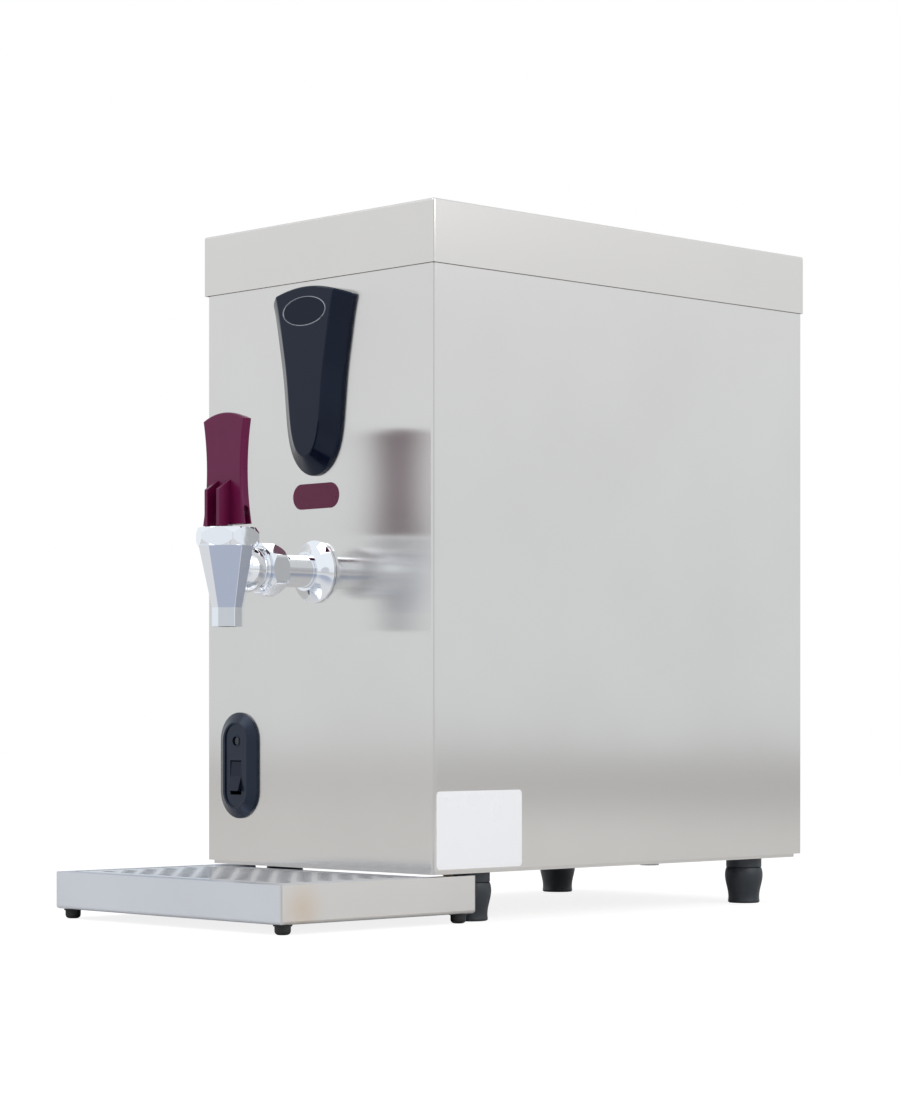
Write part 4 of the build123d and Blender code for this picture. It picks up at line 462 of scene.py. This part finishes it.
class FrontSettings(bpy.types.PropertyGroup):
    """Badge, switch and blank labels"""

    badge: colour("#0C1426", "Badge", "Colour of the badge")
    badge_deep: colour("#091020", "Badge shade", "Deeper colour of the badge")
    field: colour("#121A2C", "Oval", "Colour of the blank oval plate")
    silver: colour("#969BA3", "Oval rim", "Colour of the oval plate's rim")
    rim: length(0.75 * MM, "Rim width", "Width of the oval plate's rim")
    sink: length(0.5 * MM, "Field depth", "How far the oval plate's field lies behind its rim")
    bezel: colour("#1D2532", "Bezel", "Colour of the switch bezel")
    bezel_deep: colour("#18202C", "Bezel shade", "Deeper colour of the switch bezel")
    lens: colour("#1C222C", "Lens", "Colour of the unlit lens")
    pill: colour("#621E40", "Pill label", "Colour of the blank pill-shaped label")
    plate: colour("#F7F8FB", "White plate", "Colour of the blank plate on the side")


class FittingSettings(bpy.types.PropertyGroup):
    """Feet, brass fittings and the inlet's thread"""

    brass: colour("#C9A45C", "Brass", "Colour of the brass fittings")
    brass_dull: colour("#A9853F", "Dull brass", "Tarnished colour of the brass fittings")
    thread_pitch: length(1.8 * MM, "Thread pitch", "Distance between the inlet thread's turns")
    thread_depth: length(1.1 * MM, "Thread depth", "Height of the inlet thread's ridge")
    foot: colour("#222A33", "Foot", "Colour of the barrel feet")


class StudioSettings(bpy.types.PropertyGroup):
    """Light, floor and camera of the stage"""

    sky: FloatProperty(
        name="Sky", description="Brightness of the white surroundings", default=0.62, min=0
    )
    key: power(13.0, "Key lamp", "Power of the lamp above the front")
    fill: power(13.0, "Fill lamp", "Power of the lamp beside the machine")
    floor_radius: length(7.0, "Floor radius", "Radius of the round floor")
    lens_length: FloatProperty(
        name="Lens",
        description="Focal length of the camera in millimetres",
        default=99.33,
        min=1,
        unit="CAMERA",
    )


# Operators, one for each group of pieces


class DressCase(bpy.types.Operator):
    """Finish the case's sheets, rear panel, pan and screws"""

    bl_idname = "boiler.dress_case"
    bl_label = "Case"

    def execute(self, context):
        case = context.scene.boiler_case
        sheet = rolled_stainless(
            "Stainless 304 sheet, fine grain", case.steel, case.shade, case.roughness
        )
        cover = rolled_stainless(
            "Stainless 304 cover, fine grain", case.lid_steel, case.shade, case.roughness
        )
        pan = rolled_stainless(
            "Stainless 304 pan, mill finish", case.shade, case.shade, case.roughness * 1.6
        )
        zinc = plain_metal(
            "Zinc-plated steel screws", linear("#C9CCD0"), linear("#A9ADB3"), roughness=0.28
        )
        dress(["case_wrap", "rear_panel"], sheet)
        dress(["lid"], cover)
        dress(["base_pan"], pan)
        dress(["casing_screws"], zinc)
        return {"FINISHED"}


class DressTray(bpy.types.Operator):
    """Finish the drip tray, its grid and its feet"""

    bl_idname = "boiler.dress_tray"
    bl_label = "Drip tray"

    def execute(self, context):
        tray = context.scene.boiler_tray
        pressed = rolled_stainless(
            "Stainless 304 tray, satin",
            tray.steel,
            tray.shade,
            roughness=0.22,
            along="X",
            # Warm weld tint, and painted shade on the tray's right side
            tint=heat_tint_and_painted_side_shade,
        )
        grille = rolled_stainless(
            "Stainless 304 grid, satin", tray.steel, tray.shade, roughness=0.13, along="X"
        )
        rubber = moulded_plastic(
            "Nitrile rubber",
            tray.rubber,
            linear("#101113"),
            roughness=0.6,
            texture=0.8 * MM,
            depth=0.2,
            ior=1.52,
        )
        dress(["drip_tray"], pressed)
        dress(["tray_grid"], grille)
        dress(["tray_feet"], rubber)
        return {"FINISHED"}


class DressTap(bpy.types.Operator):
    """Finish the tap's chromed castings, its lever and its moving parts"""

    bl_idname = "boiler.dress_tap"
    bl_label = "Tap"

    def execute(self, context):
        tap = context.scene.boiler_tap
        bright = chrome_plate(
            "Chromium plate, polished", tap.plate, roughness=0.035, wave_depth=0.12
        )
        lever = moulded_plastic(
            "Glass-filled nylon, burgundy",
            tap.lever,
            tap.lever_deep,
            roughness=0.34,
            texture=0.5 * MM,
            depth=0.12,
            ior=1.53,
            gloss=0.36,
            sheen="#D6D0FF",
        )
        steel = plain_metal(
            "Stainless steel, turned", linear("#CFCFCF"), linear("#B5B5B5"), roughness=0.24
        )
        silicone = moulded_plastic(
            "Silicone rubber, black",
            linear("#1B1B1D"),
            linear("#151517"),
            roughness=0.5,
            texture=1.0 * MM,
            depth=0.1,
            ior=1.41,
        )
        dress(["tap_body", "tap_bonnet", "tap_union_nut", "tap_shank", "tap_escutcheon"], bright)
        dress(["tap_lever"], lever, edge=tap.lever_edge)
        dress(["tap_stem", "lever_pin", "tap_spring", "tap_washer"], steel)
        dress(["seat_cup", "union_washer"], silicone)
        self.squeeze_spring()
        return {"FINISHED"}

    def squeeze_spring(self):
        """Give the closing spring a mesh of its own."""
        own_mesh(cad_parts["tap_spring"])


class DressFront(bpy.types.Operator):
    """Finish the badge, the switch and the labels, and make the oval plate"""

    bl_idname = "boiler.dress_front"
    bl_label = "Front pieces"

    def execute(self, context):
        front = context.scene.boiler_front
        badge = moulded_plastic(
            "ABS, gloss, slate",
            front.badge,
            front.badge_deep,
            roughness=0.14,
            texture=1.4 * MM,
            depth=0.03,
            ior=1.54,
            gloss=0.27,
            sheen=COOL_SHEEN,
        )
        bezel = moulded_plastic(
            "ABS, semi-gloss, slate",
            front.bezel,
            front.bezel_deep,
            roughness=0.24,
            texture=0.6 * MM,
            depth=0.08,
            ior=1.54,
            gloss=0.35,
            sheen=COOL_SHEEN,
        )
        rocker = moulded_plastic(
            "Nylon, black",
            linear("#1A1F2D"),
            linear("#161A26"),
            roughness=0.3,
            texture=0.6 * MM,
            depth=0.1,
            ior=1.53,
            gloss=0.22,
            sheen=COOL_SHEEN,
        )
        pill = moulded_plastic(
            "Polyester film, burgundy",
            front.pill,
            front.pill,
            roughness=0.28,
            texture=3.0 * MM,
            depth=0.02,
            ior=1.57,
            gloss=0.2,
        )
        plate = moulded_plastic(
            "Polyester film, white",
            front.plate,
            front.plate,
            roughness=0.3,
            texture=3.0 * MM,
            depth=0.02,
            ior=1.57,
        )
        dress(["badge"], badge)
        dress(["switch_bezel"], bezel)
        dress(["rocker"], rocker)
        dress(["indicator_lens"], smoked_lens("Polycarbonate lens, smoked", front.lens))
        dress(["front_label"], pill)
        dress(["rating_plate"], plate)
        self.oval_plate(front)
        return {"FINISHED"}

    def oval_plate(self, front):
        """Blank oval plate: a rounded silver rim round a sunken dark field."""
        low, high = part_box("badge_plate")
        middle = (low + high) / 2
        turn = Matrix.Rotation(math.pi / 2, 3, "X")
        mesh = bmesh.new()
        bmesh.ops.create_circle(mesh, cap_ends=True, segments=96, radius=1)
        bmesh.ops.scale(mesh, vec=((high.x - low.x) / 2, (high.z - low.z) / 2, 1), verts=mesh.verts)
        bmesh.ops.rotate(mesh, cent=(0, 0, 0), matrix=turn, verts=mesh.verts)
        bmesh.ops.translate(mesh, vec=(middle.x, high.y, middle.z), verts=mesh.verts)
        lifted = bmesh.ops.extrude_face_region(mesh, geom=mesh.faces[:])["geom"]
        crown = 0.25 * MM
        bmesh.ops.translate(
            mesh,
            vec=(0, -(high.y - low.y - crown), 0),
            verts=[one for one in lifted if isinstance(one, bmesh.types.BMVert)],
        )
        field = [one for one in lifted if isinstance(one, bmesh.types.BMFace)]
        for share_of_rim, depth in ((0.3, crown), (0.4, 0), (0.3, -front.sink)):
            bmesh.ops.inset_region(
                mesh, faces=field, thickness=front.rim * share_of_rim, depth=depth
            )
        for face in field:
            face.material_index = 1
        silver = plain_metal("Silver-plated ABS rim", front.silver, front.silver, roughness=0.18)
        enamel = moulded_plastic(
            "Acrylic lacquer, dark",
            front.field,
            front.field,
            roughness=0.12,
            texture=2.0 * MM,
            depth=0.02,
            ior=1.49,
            gloss=0.15,
        )
        plate = new_piece("badge_oval", mesh, [silver, enamel], "boiler")
        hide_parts("badge_plate")


class DressFeet(bpy.types.Operator):
    """Finish the barrel feet and their collars"""

    bl_idname = "boiler.dress_feet"
    bl_label = "Feet"

    def execute(self, context):
        fitting = context.scene.boiler_fitting
        nylon = moulded_plastic(
            "Nylon 6, textured",
            fitting.foot,
            linear("#24282E"),
            roughness=0.46,
            texture=0.5 * MM,
            depth=0.2,
            ior=1.53,
        )
        dress(["foot_front_left", "foot_front_right", "foot_rear_left", "foot_rear_right"], nylon)
        dress(["foot_collars"], nylon)
        return {"FINISHED"}


class DressFittings(bpy.types.Operator):
    """Finish the water and supply fittings at the rear, and cut the inlet's thread"""

    bl_idname = "boiler.dress_fittings"
    bl_label = "Rear fittings"

    def execute(self, context):
        fitting = context.scene.boiler_fitting
        brass = plain_metal("Brass, turned", fitting.brass, fitting.brass_dull, roughness=0.26)
        nylon = moulded_plastic(
            "Nylon, black, moulded",
            linear("#1F2124"),
            linear("#18191C"),
            roughness=0.42,
            texture=0.6 * MM,
            depth=0.15,
            ior=1.53,
        )
        red = moulded_plastic(
            "Thermoset, red",
            linear("#A51C17"),
            linear("#8F1612"),
            roughness=0.3,
            texture=0.8 * MM,
            depth=0.08,
            ior=1.55,
        )
        dress(["tap_back_nut", "inlet_nut", "drain_plug", "element_head"], brass)
        dress(["cable_gland", "cutout_body"], nylon)
        dress(["reset_button"], red)
        self.threaded_inlet(fitting, brass)
        return {"FINISHED"}

    def threaded_inlet(self, fitting, brass):
        """Inlet valve with a real thread ridge on its outer end."""
        low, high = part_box("inlet_valve")
        nut_low, nut_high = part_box("inlet_nut")
        panel_low, panel_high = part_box("rear_panel")
        middle = (nut_low + nut_high) / 2
        centre = Vector((middle.x, 0, middle.z))
        end, inside = high.y, panel_low.y
        mouth = 7.5 * MM
        crest = 13.2 * MM
        root = crest - fitting.thread_depth
        tip_run, tip_drop = 0.8 * MM, 0.6 * MM
        collar, collar_depth = 19 * MM, 4 * MM
        barrel, barrel_end, barrel_chamfer = 17 * MM, 15.5 * MM, 1.5 * MM
        mesh = bmesh.new()
        turned(
            mesh,
            [
                (end, mouth),
                (end, root - tip_drop),
                (end - tip_run, root),
                (nut_high.y, root),
                (nut_high.y, crest),
                (inside, crest),
                (inside, collar),
                (inside - collar_depth, collar),
                (inside - collar_depth, barrel),
                (low.y + barrel_chamfer, barrel),
                (low.y, barrel_end),
                (low.y, mouth),
            ],
            centre,
            (0, 1, 0),
        )
        ridge = self.thread_ridge(fitting, centre, nut_high.y, end, root, crest)
        tail = bmesh.new()
        tail_bore, tail_radius, tail_inset = 4 * MM, 6 * MM, 28 * MM
        turned(
            tail,
            [
                (middle.z, tail_bore),
                (middle.z, tail_radius),
                (high.z, tail_radius),
                (high.z, tail_bore),
            ],
            Vector((middle.x, panel_high.y - tail_inset, 0)),
            (0, 0, 1),
            steps=40,
        )
        for extra in (ridge, tail):
            bmesh.ops.recalc_face_normals(extra, faces=extra.faces)
            data = bpy.data.meshes.new("extra")
            extra.to_mesh(data)
            extra.free()
            mesh.from_mesh(data)
            bpy.data.meshes.remove(data)
        inlet = new_piece("inlet_threaded", mesh, [brass], "boiler")
        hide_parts("inlet_valve")

    def thread_ridge(self, fitting, centre, nut_face, end, root, crest):
        """A tooth spun into the thread's ridge, from just past the nut to just short of the end."""
        pitch = fitting.thread_pitch
        nut_gap, end_gap, sink = 2.2 * MM, 1.2 * MM, 0.1 * MM
        start = nut_face + nut_gap
        half_width = pitch * 0.42
        sunk_root = root - sink
        steps_per_turn = 48
        turns = int((end - end_gap - start) / pitch)
        ridge = bmesh.new()
        outline = ((start - half_width, sunk_root), (start, crest), (start + half_width, sunk_root))
        tooth = ridge.faces.new([ridge.verts.new(centre + Vector((r, y, 0))) for y, r in outline])
        bmesh.ops.spin(
            ridge,
            geom=[tooth] + tooth.edges[:] + tooth.verts[:],
            cent=centre,
            axis=(0, 1, 0),
            dvec=(0, pitch / steps_per_turn, 0),
            angle=2 * math.pi * turns,
            steps=steps_per_turn * turns,
            use_duplicate=False,
        )
        return ridge


class DressInside(bpy.types.Operator):
    """Finish the tank, the element and everything else inside the case"""

    bl_idname = "boiler.dress_inside"
    bl_label = "Inside"

    def execute(self, context):
        tank = rolled_stainless(
            "Stainless 304 tank, mill finish",
            linear("#BFC0C2"),
            linear("#ABACAE"),
            roughness=0.34,
        )
        sheath = plain_metal(
            "Nickel-alloy sheath", linear("#8C8A86"), linear("#6F6C68"), roughness=0.4
        )
        steel = plain_metal(
            "Stainless steel, drawn", linear("#C4C5C7"), linear("#AAABAD"), roughness=0.3
        )
        foam = moulded_plastic(
            "Melamine foam, open cell",
            linear("#DAD6CC"),
            linear("#C8C3B6"),
            roughness=0.9,
            texture=1.5 * MM,
            depth=0.8,
            ior=1.3,
        )
        board = moulded_plastic(
            "Glass-epoxy board, green",
            linear("#1E5A34"),
            linear("#184B2B"),
            roughness=0.35,
            texture=1.0 * MM,
            depth=0.1,
            ior=1.55,
        )
        black = moulded_plastic(
            "Polyamide, black",
            linear("#1C1D20"),
            linear("#151618"),
            roughness=0.4,
            texture=0.6 * MM,
            depth=0.15,
            ior=1.53,
        )
        rubber = moulded_plastic(
            "Silicone gasket, red",
            linear("#9E3A2A"),
            linear("#8A2F22"),
            roughness=0.55,
            texture=0.8 * MM,
            depth=0.15,
            ior=1.41,
        )
        hose = moulded_plastic(
            "Silicone tube, milky",
            linear("#D7D3C8"),
            linear("#CBC6B9"),
            roughness=0.35,
            texture=2.0 * MM,
            depth=0.05,
            ior=1.41,
        )
        dress(["tank", "tank_lid", "tank_channels", "vent_pipe"], tank)
        dress(["element_loops"], sheath)
        dress(["tank_bolts", "probe_rods", "temperature_sensor", "hose_clips"], steel)
        dress(["tank_insulation"], foam)
        dress(["control_board"], board)
        dress(["switch_body", "indicator_lamp", "valve_coil"], black)
        dress(["terminal_block", "probe_holders", "board_standoffs"], black)
        dress(["tank_gasket", "element_washer"], rubber)
        dress(["fill_hose"], hose)
        return {"FINISHED"}


class SetStage(bpy.types.Operator):
    """Set the pale floor, the soft lamps, the white surroundings and the camera"""

    bl_idname = "boiler.set_stage"
    bl_label = "Stage"

    def execute(self, context):
        studio = context.scene.boiler_studio
        self.floor(studio)
        self.surroundings(context, studio)
        self.lamp("Key", KEY_PLACE, KEY_SIZE, studio.key)
        self.lamp("Fill", FILL_PLACE, FILL_SIZE, studio.fill)
        self.camera(context, studio)
        context.scene.view_settings.view_transform = "Standard"
        return {"FINISHED"}

    def floor(self, studio):
        """Round matt floor; the camera sees it white with a faint shadow."""
        mesh = bmesh.new()
        bmesh.ops.create_circle(mesh, cap_ends=True, segments=96, radius=studio.floor_radius)
        data = bpy.data.meshes.new("floor")
        mesh.to_mesh(data)
        mesh.free()
        floor = bpy.data.objects.new("floor", data)
        bpy.context.scene.collection.objects.link(floor)
        made, tree = new_material("Matt white floor")
        ray = add_node(tree, "ShaderNodeLightPath")
        paint = self.mirrored_floor(tree, ray.outputs["Is Glossy Ray"])
        shadow = add_node(tree, "ShaderNodeBsdfDiffuse", {"Color": grey(SEEN_SHADOW)})
        white = add_node(
            tree, "ShaderNodeEmission", {"Color": grey(1.0), "Strength": SEEN_WHITE}
        )
        lifted = add_node(tree, "ShaderNodeAddShader", {0: shadow.outputs[0], 1: white.outputs[0]})
        seen = add_node(
            tree,
            "ShaderNodeMixShader",
            {0: ray.outputs["Is Camera Ray"], 1: paint, 2: lifted.outputs[0]},
        )
        data.materials.append(finish_material(made, seen.outputs[0]))

    def mirrored_floor(self, tree, glossy_ray):
        """Pale paint; polished metal also sees a blue-grey patch in front and a glow far off."""
        place = object_place(tree)
        from_patch = measure(tree, "DISTANCE", place, FLOOR_PATCH)
        patch = remap(
            tree, from_patch, PATCH_FADE, (glossy_ray, 0.0), interpolation_type="SMOOTHSTEP"
        )
        tone = mix_colours(tree, patch, grey(FLOOR_PAINT), rgba(linear("#B9C1D1")))
        from_rear = measure(tree, "DISTANCE", place, FLOOR_REAR)
        far_glow = remap(tree, from_rear, GLOW_RISE, (0.0, glossy_ray))
        glow = add_node(
            tree, "ShaderNodeEmission", {"Color": grey(FLOOR_GLOW), "Strength": far_glow}
        )
        matt = add_node(tree, "ShaderNodeBsdfDiffuse", {"Color": tone})
        both = add_node(tree, "ShaderNodeAddShader", {0: matt.outputs[0], 1: glow.outputs[0]})
        return both.outputs[0]

    def surroundings(self, context, studio):
        """White studio; polished metal sees it slightly tinted, with two darker parts."""
        world = bpy.data.worlds.new("Studio")
        context.scene.world = world
        world.use_nodes = True
        tree = world.node_tree
        tree.nodes.clear()
        ray = add_node(tree, "ShaderNodeLightPath")
        mirrored = self.mirrored_room(tree)
        mirror = add_node(tree, "ShaderNodeBackground", {"Color": mirrored, "Strength": 1.0})
        even = add_node(
            tree, "ShaderNodeBackground", {"Color": grey(1.0), "Strength": studio.sky}
        )
        white_wall = add_node(tree, "ShaderNodeBackground", {"Color": grey(1.0), "Strength": 1.0})
        glossy = add_node(
            tree,
            "ShaderNodeMixShader",
            {0: ray.outputs["Is Glossy Ray"], 1: even.outputs[0], 2: mirror.outputs[0]},
        )
        through = add_node(
            tree,
            "ShaderNodeMath",
            {0: ray.outputs["Is Camera Ray"], 1: ray.outputs["Is Transmission Ray"]},
            operation="MAXIMUM",
        )
        seen = add_node(
            tree,
            "ShaderNodeMixShader",
            {0: through.outputs[0], 1: glossy.outputs[0], 2: white_wall.outputs[0]},
        )
        add_node(tree, "ShaderNodeOutputWorld", {"Surface": seen.outputs[0]})

    def mirrored_room(self, tree):
        """Colour that polished metal sees in each direction of the room."""
        smooth = {"interpolation_type": "SMOOTHSTEP"}
        way = add_node(tree, "ShaderNodeTexCoord").outputs["Generated"]
        height = add_node(tree, "ShaderNodeSeparateXYZ", {0: way}).outputs["Z"]
        rise = remap(tree, height, HORIZON_FADE, (0.0, 1.0), **smooth)
        tone = mix_colours(tree, rise, rgba(linear("#EDF1F5")), rgba(linear("#F9FCFF")))
        for direction, span, code in (
            (FAR_CORNER, CORNER_FADE, "#8F99A8"),
            (NEAR_SIDE, SIDE_FADE, "#D0D3D6"),
        ):
            nearness = measure(tree, "DOT_PRODUCT", way, Vector(direction).normalized())
            dark = remap(tree, nearness, span, (0.0, 1.0), **smooth)
            tone = mix_colours(tree, dark, tone, rgba(linear(code)))
        return tone

    def lamp(self, name, place, size, watts):
        """Square soft box that faces the machine."""
        data = bpy.data.lights.new(name, "AREA")
        data.shape = "SQUARE"
        data.size = size
        data.energy = watts
        lamp = bpy.data.objects.new(name, data)
        bpy.context.scene.collection.objects.link(lamp)
        lamp.location = place
        aim = Vector(LAMP_AIM) - Vector(place)
        lamp.rotation_euler = aim.to_track_quat("-Z", "Y").to_euler()

    def camera(self, context, studio):
        """Level camera at the photograph's place, framed by its vertical shift."""
        data = bpy.data.cameras.new("Camera")
        data.sensor_fit = "VERTICAL"
        data.sensor_height = SENSOR_HEIGHT
        data.lens = studio.lens_length
        data.shift_y = CAMERA_SHIFT
        data.clip_start = 0.01
        camera = bpy.data.objects.new("Camera", data)
        context.scene.collection.objects.link(camera)
        camera.location = CAMERA_PLACE
        camera.rotation_euler = (math.radians(90), 0, CAMERA_TURN)
        context.scene.camera = camera


class BoilerPanel(bpy.types.Panel):
    """Lists the boiler's operators and settings"""

    bl_idname = "VIEW3D_PT_boiler"
    bl_label = "Boiler"
    bl_space_type = "VIEW_3D"
    bl_region_type = "UI"
    bl_category = "Boiler"

    def draw(self, context):
        for step in STEPS:
            self.layout.operator(step.bl_idname)
        for name in SETTINGS:
            group = getattr(context.scene, name)
            box = self.layout.box()
            for key in group.__annotations__:
                box.prop(group, key)


SETTINGS = {
    "boiler_case": CaseSettings,
    "boiler_tray": TraySettings,
    "boiler_tap": TapSettings,
    "boiler_front": FrontSettings,
    "boiler_fitting": FittingSettings,
    "boiler_studio": StudioSettings,
}
STEPS = [
    DressCase,
    DressTray,
    DressTap,
    DressFront,
    DressFeet,
    DressFittings,
    DressInside,
    SetStage,
]


def register():
    for group in SETTINGS.values():
        bpy.utils.register_class(group)
    for name, group in SETTINGS.items():
        setattr(bpy.types.Scene, name, PointerProperty(type=group))
    for step in STEPS:
        bpy.utils.register_class(step)
    bpy.utils.register_class(BoilerPanel)


def unregister():
    bpy.utils.unregister_class(BoilerPanel)
    for step in reversed(STEPS):
        bpy.utils.unregister_class(step)
    for name in SETTINGS:
        delattr(bpy.types.Scene, name)
    for group in reversed(SETTINGS.values()):
        bpy.utils.unregister_class(group)


def main():
    """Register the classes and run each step."""
    register()
    bpy.ops.boiler.dress_case()
    bpy.ops.boiler.dress_tray()
    bpy.ops.boiler.dress_tap()
    bpy.ops.boiler.dress_front()
    bpy.ops.boiler.dress_feet()
    bpy.ops.boiler.dress_fittings()
    bpy.ops.boiler.dress_inside()
    bpy.ops.boiler.set_stage()


if __name__ == "__main__":
    main()
